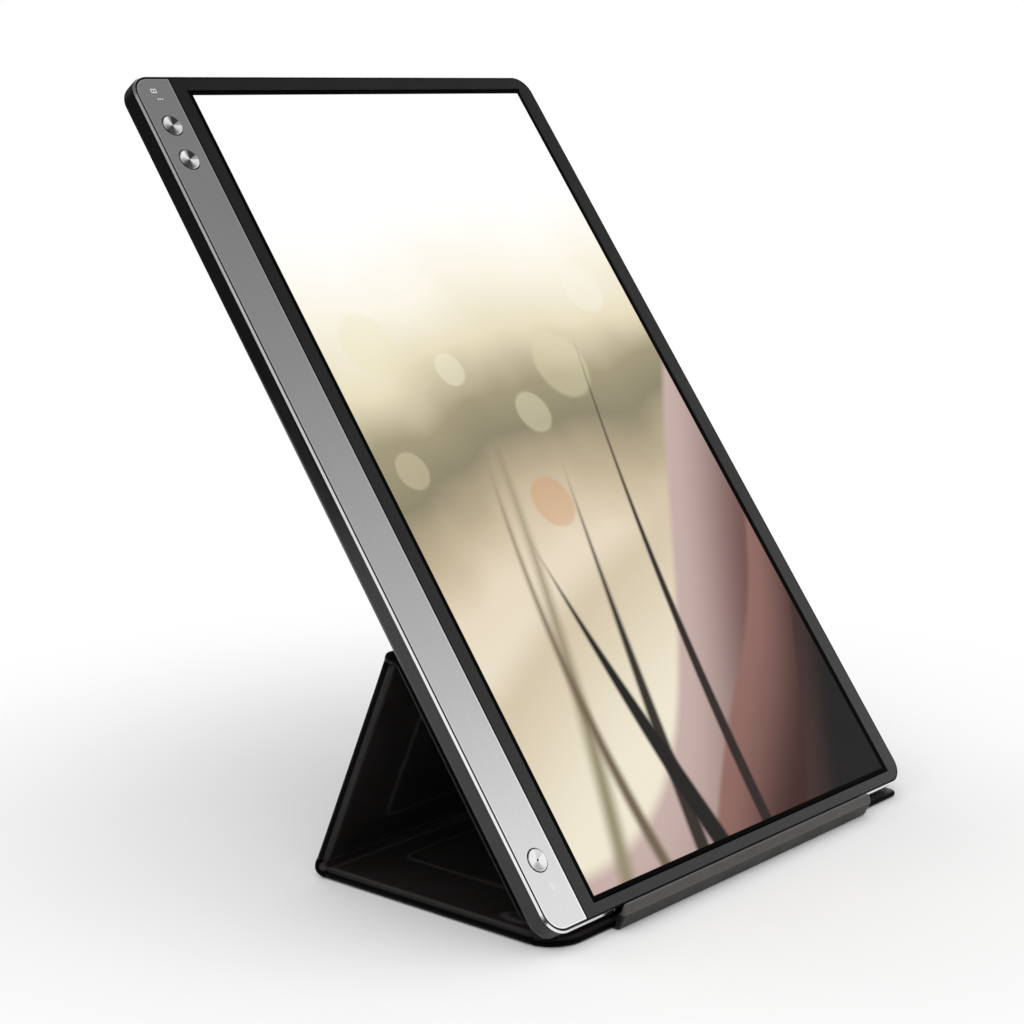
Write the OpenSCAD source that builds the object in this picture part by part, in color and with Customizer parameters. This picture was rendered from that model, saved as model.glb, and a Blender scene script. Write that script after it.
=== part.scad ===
// Flat portable monitor standing upright, leaning on its own folded cover.
// Millimetres. +X right, +Y away from the viewer, +Z up, the table is z = 0.
// The cover folds into a triangle of three leaves: a base leaf on the table, a rear
// leaf that leans forward, and a front leaf that lies against the monitor's back.

/* [Screen] */
// Short side of the lit picture (14 inch, 16:9)
picture_w = 174.3; // [150:0.1:200]
// Long side of the lit picture
picture_l = 309.9; // [260:0.1:340]
// Width of the metal control strip, from the housing's left side
strip_w = 17.9; // [17:0.1:26]
// Bezel between the control strip and the picture
bezel_left = 7.9; // [6.5:0.1:12]
// Bezel right of the picture
bezel_right = 9.7; // [7.5:0.1:14]
// Bezel under the picture
bezel_bottom = 7; // [6.5:0.1:14]
// Bezel above the picture
bezel_top = 8.1; // [6.5:0.1:14]
// Black border between the bezel's inner edge and the picture
recess_w = 1.7; // [0.8:0.1:1.8]

/* [Housing] */
// Overall thickness of the monitor
body_t = 9; // [8.6:0.1:14]
// Corner radius seen from the front
corner_r = 8; // [6.5:0.1:14]
// Depth of the straight side wall, from the front face
side_h = 6; // [5.2:0.1:6.6]
// How far the back draws in below the side wall
taper_in = 4; // [2:0.1:5]
// Thickness of the housing's side walls
wall_t = 1.4; // [1:0.1:1.8]
// Thickness of the housing's back
floor_t = 1.2; // [0.8:0.1:1.4]
// Width of the bright chamfer round the front edge
chamfer = 0.7; // [0.4:0.1:1.1]
// Height of the trim ring that carries the chamfer
trim_h = 1.8; // [1.4:0.1:2.4]
// Thickness of the stiffening ribs inside the back
rib_t = 1; // [0.6:0.1:2]

/* [Front pieces] */
// Thickness of the bezel frame
bezel_t = 1; // [0.8:0.1:1.3]
// Bevel on the bezel's inner edge
bezel_bevel = 0.4; // [0.2:0.1:0.6]
// Seam between the bezel and its neighbours
seam = 0.1; // [0.05:0.05:0.3]
// Dark groove between the trim ring and the control strip
groove = 0.3; // [0.1:0.05:0.8]
// Thickness of the control strip
strip_t = 1; // [0.6:0.1:1.1]
// How far the strip's face lies below the front face
strip_sink = 0.15; // [0:0.05:0.3]
// Thickness of the bezel's bed under the control strip
bed_t = 0.7; // [0.5:0.1:0.9]
// Length of a snap tab on the bezel
snap_l = 6; // [4:0.5:12]

/* [Buttons] */
// Diameter of a button cap
button_d = 8; // [6:0.1:9]
// Clearance round a button cap
button_gap = 0.2; // [0.1:0.05:0.4]
// How far a button cap stands proud of the front face
button_proud = 0.25; // [0:0.05:0.6]
// Travel of a button
button_travel = 0.35; // [0.2:0.05:0.5]
// Width of the flange that keeps a cap in
flange_w = 0.9; // [0.5:0.1:1.2]
// Thickness of that flange
flange_t = 0.4; // [0.3:0.05:0.5]
// Distance from the housing's left side to the buttons
button_in = 9.5; // [8.5:0.1:12]
// Upper button, from the monitor's top edge
menu_down = 20.8; // [17:0.1:24]
// Lower button of the pair, from the monitor's top edge
input_down = 34.9; // [32:0.1:60]
// Power button, from the monitor's bottom edge
power_up = 24.3; // [18:0.1:60]

/* [Inside] */
// Thickness of the display glass under the bezel
glass_t = 1; // [0.6:0.1:1.1]
// How far the glass lies below the front face inside the bezel's opening
glass_sink = 0.4; // [0.2:0.05:0.9]
// Overlap of the display glass round the picture
glass_margin = 2.4; // [2.2:0.1:3.2]
// Thickness of the diffuser sheets
diffuser_t = 0.45; // [0.3:0.05:0.5]
// Thickness of the light guide
guide_t = 0.7; // [0.4:0.05:0.75]
// Thickness of the reflector sheet
reflector_t = 0.15; // [0.1:0.05:0.2]
// Thickness of the steel pan behind the display
pan_t = 0.4; // [0.2:0.05:0.45]
// Thickness of the circuit boards
board_t = 0.8; // [0.6:0.1:1]
// Width of the main board
board_w = 16.6; // [15:0.1:17]
// Length of the main board
board_l = 90; // [70:1:120]
// Width of the timing board
timing_w = 12; // [8:0.5:20]
// Length of the timing board
timing_l = 200; // [140:1:240]
// Radius of the board screws
screw_r = 0.75; // [0.5:0.05:0.9]
// Length of a magnet
magnet_l = 20; // [10:0.5:26]
// Width of a magnet
magnet_w = 8; // [5:0.5:12]
// Thickness of a magnet
magnet_t = 1; // [0.6:0.05:1.1]

/* [Port] */
// Width of the charging and picture port
port_w = 8.94; // [8:0.01:10]
// Height of the port
port_h = 3.26; // [3:0.01:3.4]
// Depth of the port
port_d = 7.3; // [6:0.1:9]
// Wall of the port's shell
port_wall = 0.3; // [0.2:0.05:0.4]

/* [Cover] */
// Width of the cover
cover_w = 204; // [170:0.5:206]
// Thickness of a leaf
leaf_t = 3.2; // [2.8:0.1:4]
// Thickness of the leather skin
skin_t = 0.8; // [0.6:0.05:1]
// Thickness of the fabric lining
lining_t = 0.6; // [0.4:0.05:0.8]
// Width of the turned-in border of a leaf
rim_w = 4; // [3:0.1:8]
// Inner radius of a fold
fold_r = 1.3; // [1:0.1:2.5]
// Corner radius of the front leaf
leaf_corner_r = 6; // [4:0.5:12]
// Corner radius of the base leaf
base_corner_r = 3.5; // [3:0.5:16]
// Raised field that the stiffener presses through the lining
field_h = 0.25; // [0.1:0.05:0.5]
// Distance of that field from the leaf's sides
field_in = 26; // [12:0.5:40]

/* [Stand] */
// Lean of the screen, from flat on the table
tilt = 54.3; // [48:0.1:60]
// Lean of the rear leaf, from flat on the table
rear_lean = 66; // [60:0.1:80]
// Ridge of the folded cover, up the monitor's back
ridge_up = 101.4; // [85:0.1:120]
// Free end of the front leaf, up the monitor's back
leaf_end_up = 7; // [6:0.1:20]
// Thickness of the base leaf under the monitor's bottom edge
trough_t = 2; // [1.6:0.1:2.4]
// Depth of that thin trough, from the base leaf's front edge
trough_l = 9.5; // [8.5:0.1:10]
// Base leaf's front edge, behind the monitor's front bottom edge
base_back = 1; // [0.9:0.1:2.5]
// Gap between the monitor and the leaves that it rests on
seat_gap = 0.35; // [0.3:0.05:0.6]

/* [Lip] */
// Length of the lip along the base leaf's front edge
lip_w = 148; // [100:1:170]
// Radius of the leather bead that the lip folds on
lip_bead_r = 0.9; // [0.7:0.05:1]
// How far the lip's ridge stands in front of the monitor's edge
lip_out = 4.2; // [3.8:0.1:6]
// Lip's ridge, below the monitor's front bottom edge
lip_ridge_down = 0.8; // [0.4:0.1:1.4]
// Lip's tip, above the monitor's front bottom edge
lip_tip_up = 1.85; // [1.2:0.05:2]
// Thickness of the flat core strip in the lip
lip_core_t = 0.8; // [0.6:0.05:1]

/* [Hidden] */

$fn = 64;

// --- Monitor, in its own frame: x across, y up from the bottom edge, z out of the face ---
body_w = strip_w + bezel_left + picture_w + bezel_right;
body_l = bezel_bottom + picture_l + bezel_top;
left_x = -body_w / 2;
picture_x = left_x + strip_w + bezel_left;
strip_right = left_x + strip_w;
trim_w = chamfer + 0.15;
taper_steps = 6;

// Depths, from the front face at z = 0
gasket_t = 0.2;
glass_gap = 0.2;
sheet_gap = 0.05;
glass_z = -bezel_t - gasket_t - glass_t;
diffuser_z = glass_z - sheet_gap - diffuser_t;
guide_z = diffuser_z - sheet_gap - guide_t;
reflector_z = guide_z - sheet_gap - reflector_t;
pan_z = reflector_z - sheet_gap - pan_t;
floor_z = floor_t - body_t;
bed_z = -strip_sink - strip_t - bed_t;
board_z = pan_z - sheet_gap - board_t;
back_room = board_z - floor_z;

// Display pieces, by how far they pass the picture on every side
pan_margin = glass_margin + 0.3;
pan_wall = 0.8;
sheet_margin = pan_margin - pan_wall - 0.3;
driver_margin = 4;
flex_t = 0.15;
flex_w = 30;
driver_chip = 8;
led_w = 1.2;

// Buttons
button_x = left_x + button_in;
hole_r = button_d / 2 + button_gap;
flange_r = button_d / 2 + flange_w;
flange_gap = 0.05;
flange_z = bed_z - flange_gap - flange_t;
stem_r = 1.5;
switch_body_h = 0.6;
switch_top = board_z + board_t + switch_body_h;
plunger_h = 0.2;
stem_z = switch_top + plunger_h + button_travel + 0.05;
menu_y = body_l - menu_down;
input_y = body_l - input_down;

// Boards
board_x = left_x + wall_t + 1.1;
board_top_y = body_l - wall_t - 1.6;
board_gap = 0.5;
power_board_l = 22;
power_board_y = power_up - power_board_l / 2;
timing_x = picture_x - pan_margin + 0.4;
timing_y = board_top_y - board_l + 16 - timing_l;
cable_t = 0.18;
boss_r = 2;
boss_hole_r = screw_r + 0.05;
screw_bite = 2;
screw_inset = 2.6;
main_screws = [
    [board_x + screw_inset, board_top_y - board_l + screw_inset],
    [board_x + screw_inset, board_top_y - board_l / 2],
    [board_x + board_w - screw_inset, board_top_y - board_l / 2],
    [board_x + board_w - screw_inset, board_top_y - screw_inset]];
power_screws = [
    [button_x, power_board_y + screw_inset],
    [button_x, power_board_y + power_board_l - screw_inset]];
chips = [[6, 22, 8, 8, 0.9], [8.5, 34, 5, 5, 0.8], [5.5, 52, 6, 5, 1.2], [10.5, 61, 4, 4, 1.1],
    [4.5, 70, 2.5, 2.5, 0.9], [9.5, 12, 3, 3, 0.9]];

// Port
port_z = board_z + board_t / 2;
port_x = button_x;
port_front_y = body_l - 0.3;
port_gap = 0.2;

// Magnets shared by the monitor and the front leaf
magnet_x = body_w / 2 - 45;
magnet_ys = [leaf_end_up + 20, ridge_up - 24];
magnet_pocket = 0.15;

// --- Cover and stand ---
fold_out_r = fold_r + leaf_t;
fold_land = 3.5;
end_gap = 0.2;
glue = 0.05;
board_leaf_t = leaf_t - skin_t - lining_t - 2 * glue;
taper_h = body_t - side_h;
body_drop = side_h * cos(tilt) - taper_in * sin(tilt)
    + sqrt(pow(taper_in * sin(tilt), 2) + pow(taper_h * cos(tilt), 2));
edge_z = trough_t + seat_gap + body_drop;
ridge_depth = body_t + seat_gap + fold_out_r;
ridge_y = ridge_up * cos(tilt) + ridge_depth * sin(tilt);
ridge_z = edge_z + ridge_up * sin(tilt) - ridge_depth * cos(tilt);
rear_leaf_l = (ridge_z - fold_out_r) / sin(rear_lean);
fold_y = ridge_y + rear_leaf_l * cos(rear_lean);
base_l = fold_y - base_back;
front_leaf_l = ridge_up - leaf_end_up;
wrap_ridge = tilt + rear_lean;
wrap_rear = 180 - rear_lean;

// Lip outline, as [y, z] in the stand's frame
lip_axis_y = -0.6;
lip_ridge = [-lip_out, edge_z - lip_ridge_down];
lip_tip = [-lip_out + 1.45, edge_z + lip_tip_up];
lip_tip_in = [-lip_out + 2.1, edge_z + lip_tip_up - 0.5];
lip_inner = [-lip_out + 3, edge_z - lip_ridge_down - 0.6];
lip_foot_out = [lip_axis_y - 0.94 * lip_bead_r, 0.83 * lip_bead_r];
lip_foot_in = [lip_axis_y + 0.75 * lip_bead_r, 0.8 * lip_bead_r];
lip_face_l = norm(lip_inner - lip_foot_in);
tongue_gap = 0.3;
lip_end = 3;
lip_hem = 1.7;
lip_top_hem = 0.5;
lip_core_z = lining_t + glue;
lip_pocket_z = lip_core_z + lip_core_t + glue;

// Middle of the whole object, front to back
stand_front_y = -lip_out;
stand_back_y = (body_l - taper_in) * cos(tilt) + side_h * sin(tilt)
    + sqrt(pow(taper_in * cos(tilt), 2) + pow(taper_h * sin(tilt), 2));
mid_y = (stand_front_y + stand_back_y) / 2;

echo(ridge_axis = [ridge_y - mid_y, ridge_z], rear_axis = [fold_y - mid_y, fold_out_r],
    lip_axis = [lip_axis_y - mid_y, lip_bead_r], wraps = [wrap_ridge, wrap_rear],
    box = [body_w, stand_back_y - stand_front_y, edge_z + body_l * sin(tilt)],
    edge = [-mid_y, edge_z], leaves = [base_l, rear_leaf_l, front_leaf_l], board_z = board_z);

// ---------- Frames ----------
module placed() translate([0, -mid_y, 0]) children();

module on_monitor() placed() translate([0, 0, edge_z]) rotate([tilt, 0, 0]) children();

// Leaf frames: y runs from a fold's tangent line along the leaf, z from the outer face inwards
module on_front_leaf()
    on_monitor() translate([0, ridge_up, -body_t - seat_gap]) rotate([180, 0, 0]) children();

module on_rear_leaf()
    placed() translate([0, fold_y + fold_out_r * sin(rear_lean), fold_out_r * (1 + cos(rear_lean))])
        rotate([180 - rear_lean, 0, 0]) children();

module on_base_leaf() placed() translate([0, fold_y, 0]) mirror([0, 1, 0]) children();

// Draws a [y, z] outline of the stand's side as a bar along x
module across(w) placed() rotate([90, 0, 90]) linear_extrude(w, center = true) children();

// ---------- Helpers ----------
module round_rect(w, l, r) {
    translate([-w / 2 + r, 0]) square([w - 2 * r, l]);
    translate([-w / 2, r]) square([w, l - 2 * r]);
    for (x = [r - w / 2, w / 2 - r], y = [r, l - r]) translate([x, y]) circle(r);
}

// Outline centred on x, starting inset from the housing's outline by d
module inset_outline(d) translate([0, d]) round_rect(body_w - 2 * d, body_l - 2 * d, corner_r - d);

// Sweeps a profile (x = distance in from the outline, y = height) round a rounded rectangle
module swept_edge(w, l, r) {
    sides = [[w / 2 - r, l - r, l - 2 * r], [r - w / 2, l - r, w - 2 * r],
        [r - w / 2, r, l - 2 * r], [w / 2 - r, r, w - 2 * r]];
    for (i = [0 : 3]) translate([sides[i][0], sides[i][1], 0]) rotate([0, 0, 90 * i]) {
        rotate_extrude(angle = 90) translate([r, 0]) mirror([1, 0]) children();
        rotate([90, 0, 0]) linear_extrude(sides[i][2]) translate([r, 0]) mirror([1, 0]) children();
    }
}

module slab(x, y, z, w, l, h) translate([x, y, z]) cube([w, l, h]);

// A sheet that passes the picture by m on every side, with an extra on the left
module picture_sheet(m, z, t, extra = 0)
    slab(picture_x - m - extra, bezel_bottom - m, z, picture_w + 2 * m + extra, picture_l + 2 * m, t);

module stadium(w, h) {
    square([w - h, h], center = true);
    for (x = [-1, 1]) translate([x * (w - h) / 2, 0]) circle(h / 2);
}

module magnet_places() for (x = [-magnet_x, magnet_x], y = magnet_ys) translate([x, y, 0]) children();

module magnet_block(t, grow = 0)
    translate([-magnet_l / 2 - grow, -magnet_w / 2 - grow, 0])
        cube([magnet_l + 2 * grow, magnet_w + 2 * grow, t]);

// ---------- Monitor: housing ----------
module housing_wall_profile()
    polygon(concat(
        [[0, -trim_h]],
        [for (i = [0 : taper_steps]) let (a = 90 * i / taper_steps)
            [taper_in * (1 - cos(a)), -side_h - taper_h * sin(a)]],
        [for (i = [taper_steps : -1 : 0]) let (a = 90 * i / taper_steps)
            [wall_t + (taper_in - wall_t) * (1 - cos(a)), -side_h - (taper_h - floor_t) * sin(a)]],
        [[wall_t, -trim_h]]));

module board_bosses(places)
    for (p = places) translate([p[0], p[1], floor_z]) difference() {
        cylinder(r = boss_r, h = back_room);
        translate([0, 0, back_room - screw_bite]) cylinder(r = boss_hole_r, h = screw_bite);
    }

module back_ribs() {
    rib_h = pan_z - sheet_gap - floor_z;
    right_end = picture_x + picture_w;
    for (x = [picture_x + 30, 0, picture_x + picture_w * 0.72, right_end - 6])
        slab(x, ridge_up + 8, floor_z, rib_t, body_l - ridge_up - 24, rib_h);
    for (y = [ridge_up + 8, body_l / 2 + 20, body_l - 40])
        slab(picture_x + 30, y, floor_z, picture_w - 36, rib_t, rib_h);
    slab(picture_x + 10, 14, floor_z, picture_w - 20, rib_t, rib_h);
    slab(picture_x + 10, leaf_end_up + 44, floor_z, picture_w - 20, rib_t, rib_h);
}

module magnet_frames()
    magnet_places() translate([0, 0, floor_z]) difference() {
        magnet_block(magnet_t, magnet_pocket + 0.8);
        magnet_block(magnet_t, magnet_pocket);
    }

module rear_cover() color("#1c1c1e") on_monitor() difference() {
    union() {
        swept_edge(body_w, body_l, corner_r) housing_wall_profile();
        translate([0, 0, -body_t]) linear_extrude(floor_t) inset_outline(taper_in);
        board_bosses(main_screws);
        board_bosses(power_screws);
        back_ribs();
        magnet_frames();
    }
    translate([port_x, body_l + 1, port_z]) rotate([90, 0, 0])
        linear_extrude(wall_t + 2.5) stadium(port_w + 2 * port_gap, port_h + 2 * port_gap);
}

module trim_ring() color("#c9cbce") on_monitor() swept_edge(body_w, body_l, corner_r)
    polygon([[0, -trim_h], [0, -chamfer], [chamfer, 0], [trim_w, 0], [trim_w, -trim_h]]);

module button_holes(z, h)
    for (y = [menu_y, input_y, power_up]) translate([button_x, y, z]) cylinder(r = hole_r, h = h);

// Frame round the picture, with a sunken bed that carries the control strip
module front_bezel() color("#2a2827") on_monitor() {
    edge = trim_w + seam;
    wall_edge = wall_t + seam;
    opening_x = picture_x - recess_w;
    opening_w = picture_w + 2 * recess_w;
    opening_y = bezel_bottom - recess_w;
    opening_l = picture_l + 2 * recess_w;
    frame_left = strip_right + seam;
    difference() {
        union() {
            intersection() {
                translate([0, 0, -bezel_t]) linear_extrude(bezel_t) inset_outline(edge);
                slab(frame_left, 0, -bezel_t, body_w, body_l, bezel_t);
            }
            intersection() {
                translate([0, 0, bed_z]) linear_extrude(bed_t) inset_outline(wall_edge);
                slab(left_x, 0, bed_z, strip_w + 3, body_l, bed_t);
            }
            slab(frame_left, wall_edge + corner_r, bed_z, 1.2, body_l - 2 * (wall_edge + corner_r), -bed_z);
        }
        hull() {
            slab(opening_x, opening_y, -bezel_t - 0.1, opening_w, opening_l, 0.1 + bezel_t - bezel_bevel);
            slab(opening_x - bezel_bevel, opening_y - bezel_bevel, 0,
                opening_w + 2 * bezel_bevel, opening_l + 2 * bezel_bevel, 0.01);
        }
        button_holes(bed_z - 1, bed_t + 2);
    }
    snap_tabs(wall_edge);
}

// Tabs that grip the inside of the housing's walls
module snap_tabs(edge) {
    tab_t = 0.8;
    tab_z = -3.2;
    for (f = [0.1, 0.3, 0.5, 0.7, 0.9]) {
        slab(body_w / 2 - edge - tab_t, f * body_l - snap_l / 2, tab_z, tab_t, snap_l, -bezel_t - tab_z);
        slab(left_x + edge, f * body_l - snap_l / 2, tab_z, tab_t, snap_l, bed_z - tab_z);
    }
    for (x = [picture_x + picture_w * 0.1, picture_x + picture_w * 0.5, picture_x + picture_w * 0.9],
            y = [edge, body_l - edge - tab_t])
        slab(x - snap_l / 2, y, tab_z, snap_l, tab_t, -bezel_t - tab_z);
}

module control_strip() color("#b4b5b7") on_monitor() difference() {
    intersection() {
        translate([0, 0, -strip_sink - strip_t]) linear_extrude(strip_t) inset_outline(trim_w + groove);
        slab(left_x, 0, -strip_sink - strip_t, strip_w, body_l, strip_t);
    }
    button_holes(-strip_sink - strip_t - 1, strip_t + 2);
}

// Spun metal cap: dished top, body, keeper flange and the stem that presses the switch
module button_cap(y) color("#d8d9db") on_monitor() translate([button_x, y, 0]) {
    rim = button_d / 2;
    dish = 0.15;
    rotate_extrude() polygon([[0, stem_z], [stem_r, stem_z], [stem_r, flange_z], [flange_r, flange_z],
        [flange_r, flange_z + flange_t], [rim, flange_z + flange_t], [rim, button_proud - 0.2],
        [rim - 0.2, button_proud], [rim - 0.6, button_proud], [0, button_proud - dish]]);
}

module menu_button() button_cap(menu_y);
module input_button() button_cap(input_y);
module power_button() button_cap(power_up);

// ---------- Monitor: display ----------
module display_gasket() color("#101010") on_monitor() difference() {
    picture_sheet(glass_margin, -bezel_t - gasket_t, gasket_t);
    picture_sheet(recess_w + 0.1, -bezel_t - gasket_t - 1, gasket_t + 2);
}

// Glass with its driver edge on the left and a raised front that fills the bezel's opening
module display_glass() color("#e9e4d6") on_monitor() {
    picture_sheet(glass_margin, glass_z, glass_t, driver_margin - glass_margin);
    picture_sheet(recess_w - glass_gap, glass_z, -glass_sink - glass_z);
}

module diffuser_sheets() color("white") on_monitor() picture_sheet(sheet_margin, diffuser_z, diffuser_t);

module light_guide() color("#dff1f5") on_monitor()
    slab(picture_x - sheet_margin + led_w + 0.1, bezel_bottom - sheet_margin, guide_z,
        picture_w + 2 * sheet_margin - led_w - 0.1, picture_l + 2 * sheet_margin, guide_t);

module led_bar() color("#f6e27a") on_monitor()
    slab(picture_x - sheet_margin, bezel_bottom, guide_z, led_w, picture_l, guide_t);

module reflector_sheet() color("#fbfbfb") on_monitor()
    picture_sheet(sheet_margin, reflector_z, reflector_t);

module display_pan() color("#9fa3a6") on_monitor() difference() {
    picture_sheet(pan_margin, pan_z, glass_z - pan_z);
    picture_sheet(pan_margin - pan_wall, pan_z + pan_t, glass_z - pan_z);
}

// Thin flexes that wrap from the glass's left edge round the pan to the timing board
module display_flexes() color("#a8702a") on_monitor() {
    outer_x = picture_x - driver_margin - 0.5;
    low_z = board_z - flex_t;
    reach = timing_x + 3 - outer_x;
    for (f = [0.25, 0.5, 0.75]) translate([outer_x, timing_y + f * timing_l + flex_w / 2, 0])
        rotate([90, 0, 0]) linear_extrude(flex_w) {
            translate([0, low_z]) square([flex_t, glass_z - low_z]);
            translate([0, low_z]) square([reach, flex_t]);
            translate([0, glass_z - flex_t]) square([1.6, flex_t]);
        }
}

// ---------- Monitor: electronics ----------
module timing_board() color("#1f5b3a") on_monitor()
    slab(timing_x, timing_y, board_z, timing_w, timing_l, board_t);

module screw_holes(places)
    for (p = places) translate([p[0], p[1], board_z - 1]) cylinder(r = screw_r + 0.15, h = board_t + 2);

module main_board() color("#1f5b3a") on_monitor() difference() {
    intersection() {
        slab(board_x, board_top_y - board_l, board_z, board_w, board_l, board_t);
        translate([0, 0, board_z]) linear_extrude(board_t) inset_outline(wall_t + board_gap);
    }
    screw_holes(main_screws);
    slab(port_x - port_w / 2 - port_gap, port_front_y - port_d - port_gap, board_z - 1,
        port_w + 2 * port_gap, port_d + 5, board_t + 2);
}

module main_chips() color("#16181a") on_monitor() {
    low_y = board_top_y - board_l;
    for (c = chips) slab(board_x + c[0] - c[2] / 2, low_y + c[1] - c[3] / 2, board_z - c[4], c[2], c[3], c[4]);
    slab(timing_x + timing_w / 2 - driver_chip / 2, timing_y + timing_l / 2 - flex_w - driver_chip / 2,
        board_z - 1, driver_chip, driver_chip, 1);
}

module power_board() color("#1f5b3a") on_monitor() difference() {
    slab(board_x, power_board_y, board_z, board_w - 2, power_board_l, board_t);
    screw_holes(power_screws);
}

// Tact switches under the three buttons
module button_switches() color("#2b2b2b") on_monitor()
    for (y = [menu_y, input_y, power_up]) translate([button_x, y, board_z + board_t]) {
        translate([-2, -2, 0]) cube([4, 4, switch_body_h]);
        translate([0, 0, switch_body_h]) cylinder(r = 1, h = plunger_h);
    }

module button_cable() color("#a8702a") on_monitor() {
    start_y = power_board_y + power_board_l - 1.2;
    slab(board_x + board_w - 7, start_y, board_z - cable_t, 4,
        board_top_y - board_l + 4 - start_y, cable_t);
}

module display_cable() color("#a8702a") on_monitor() {
    start_x = board_x + board_w - 2.4;
    slab(start_x, timing_y + timing_l - 13, board_z - cable_t, timing_x + 4 - start_x, 10, cable_t);
}

module port_shell() color("#c4c6c8") on_monitor() translate([port_x, port_front_y, port_z])
    rotate([90, 0, 0]) difference() {
        linear_extrude(port_d) stadium(port_w, port_h);
        translate([0, 0, -1]) linear_extrude(port_d) stadium(port_w - 2 * port_wall, port_h - 2 * port_wall);
    }

module port_tongue() color("#1a1a1a") on_monitor() translate([port_x, port_front_y, port_z])
    rotate([90, 0, 0]) translate([-3.3, -0.35, 1.2]) cube([6.6, 0.7, port_d - 2.2]);

module board_screws() color("#8d9092") on_monitor() {
    head_h = 0.5;
    for (p = concat(main_screws, power_screws)) translate([p[0], p[1], board_z + board_t]) {
        cylinder(r = 2 * screw_r, h = head_h);
        translate([0, 0, -board_t - screw_bite + 0.3]) cylinder(r = screw_r, h = board_t + screw_bite - 0.3);
    }
}

module monitor_magnets() color("#8a8c90") on_monitor()
    magnet_places() translate([0, 0, floor_z]) magnet_block(magnet_t);

// ---------- Cover ----------
// Leaf body with rolled edges; free_r = 0 means that both ends are folds
module rolled_leaf(l, t, free_r) {
    r = t / 2;
    end_r = max(free_r, r);
    body_end = free_r > 0 ? l - end_r : l - end_gap;
    half = cover_w / 2 - r;
    slab(-half, end_gap, 0, 2 * half, body_end - end_gap, t);
    for (x = [-half, half]) translate([x, end_gap, r]) rotate([-90, 0, 0])
        cylinder(r = r, h = body_end - end_gap);
    if (free_r > 0) {
        corner = half + r - end_r;
        slab(-corner, body_end, 0, 2 * corner, end_r - r, t);
        translate([-corner, l - r, r]) rotate([0, 90, 0]) cylinder(r = r, h = 2 * corner);
        for (side = [[corner, 0], [-corner, 90]]) translate([side[0], body_end, r])
            rotate([0, 0, side[1]]) rotate_extrude(angle = 90) {
                translate([end_r - r, 0]) intersection() {
                    circle(r);
                    translate([0, -r]) square([r, 2 * r]);
                }
                translate([0, -r]) square([end_r - r, 2 * r]);
            }
    }
}

// Place of the stiffener board and the lining in a leaf
function pocket_end(l, free) = free ? l - rim_w : l - fold_land;
module pocket_slab(l, free, z, t, inset = 0)
    slab(-cover_w / 2 + rim_w + inset, fold_land + inset, z, cover_w - 2 * (rim_w + inset),
        pocket_end(l, free) - fold_land - 2 * inset, t);

module leaf_board(l, free) pocket_slab(l, free, skin_t + glue, board_leaf_t, glue);

// Lining with the raised field that the stiffener presses through it
module leaf_lining(l, free) {
    pocket_slab(l, free, leaf_t - lining_t, lining_t, glue);
    translate([0, fold_land + 9, leaf_t]) linear_extrude(field_h)
        round_rect(cover_w - 2 * field_in, pocket_end(l, free) - fold_land - 18, 4);
}

// Leather at a fold: a part ring from one leaf's end to the other's, in the stand's side view
module fold_ring(centre, start, sweep) translate(centre) rotate(start) {
    reach = 3 * fold_out_r;
    intersection() {
        difference() {
            circle(fold_out_r);
            circle(fold_r);
        }
        polygon(concat([[0, 0]], [for (i = [0 : 6]) let (a = sweep * i / 6) reach * [cos(a), sin(a)]]));
    }
}

module front_leaf_skin() color("#141312") on_front_leaf() difference() {
    rolled_leaf(front_leaf_l, leaf_t, leaf_corner_r);
    pocket_slab(front_leaf_l, true, skin_t, leaf_t);
}

// Front leaf's magnets face the monitor's, so their places are turned into the leaf's frame
module leaf_magnet_places() for (x = [-magnet_x, magnet_x], y = magnet_ys)
    translate([x, ridge_up - y, skin_t + glue]) children();

module front_leaf_board() color("#6b6862") on_front_leaf() difference() {
    leaf_board(front_leaf_l, true);
    leaf_magnet_places() translate([0, 0, -1]) magnet_block(leaf_t + 2, magnet_pocket);
}

module front_leaf_lining() color("#1b1a19") on_front_leaf() leaf_lining(front_leaf_l, true);

module front_leaf_magnets() color("#8a8c90") on_front_leaf() leaf_magnet_places() magnet_block(magnet_t);

module ridge_fold_leather() color("#141312") across(cover_w)
    fold_ring([ridge_y, ridge_z], 90 - rear_lean, wrap_ridge);

module rear_leaf_skin() color("#141312") on_rear_leaf() difference() {
    rolled_leaf(rear_leaf_l, leaf_t, 0);
    pocket_slab(rear_leaf_l, false, skin_t, leaf_t);
}

module rear_leaf_board() color("#6b6862") on_rear_leaf() leaf_board(rear_leaf_l, false);

module rear_leaf_lining() color("#1b1a19") on_rear_leaf() leaf_lining(rear_leaf_l, false);

module rear_fold_leather() color("#141312") across(cover_w)
    fold_ring([fold_y, fold_out_r], -90, wrap_rear);

// Base leaf: full thickness behind, a thin trough under the monitor's edge, and a tongue to the lip
module base_leaf_skin() color("#141312") on_base_leaf() {
    thick_l = base_l - trough_l;
    tongue_l = base_back - lip_axis_y - lip_bead_r - tongue_gap;
    difference() {
        union() {
            rolled_leaf(thick_l + end_gap, leaf_t, 0);
            rolled_leaf(base_l, trough_t, base_corner_r);
        }
        pocket_slab(thick_l, false, skin_t, leaf_t);
    }
    slab(-lip_w / 2, base_l - 2, 0, lip_w, tongue_l + 2, lip_bead_r);
}

module base_magnet_places() for (x = [-magnet_x, magnet_x])
    translate([x, base_l - trough_l - fold_land - magnet_w, skin_t + glue]) children();

module base_leaf_board() color("#6b6862") on_base_leaf() difference() {
    leaf_board(base_l - trough_l, false);
    base_magnet_places() translate([0, 0, -1]) magnet_block(leaf_t + 2, magnet_pocket);
}

module base_leaf_lining() color("#1b1a19") on_base_leaf() leaf_lining(base_l - trough_l, false);

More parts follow.
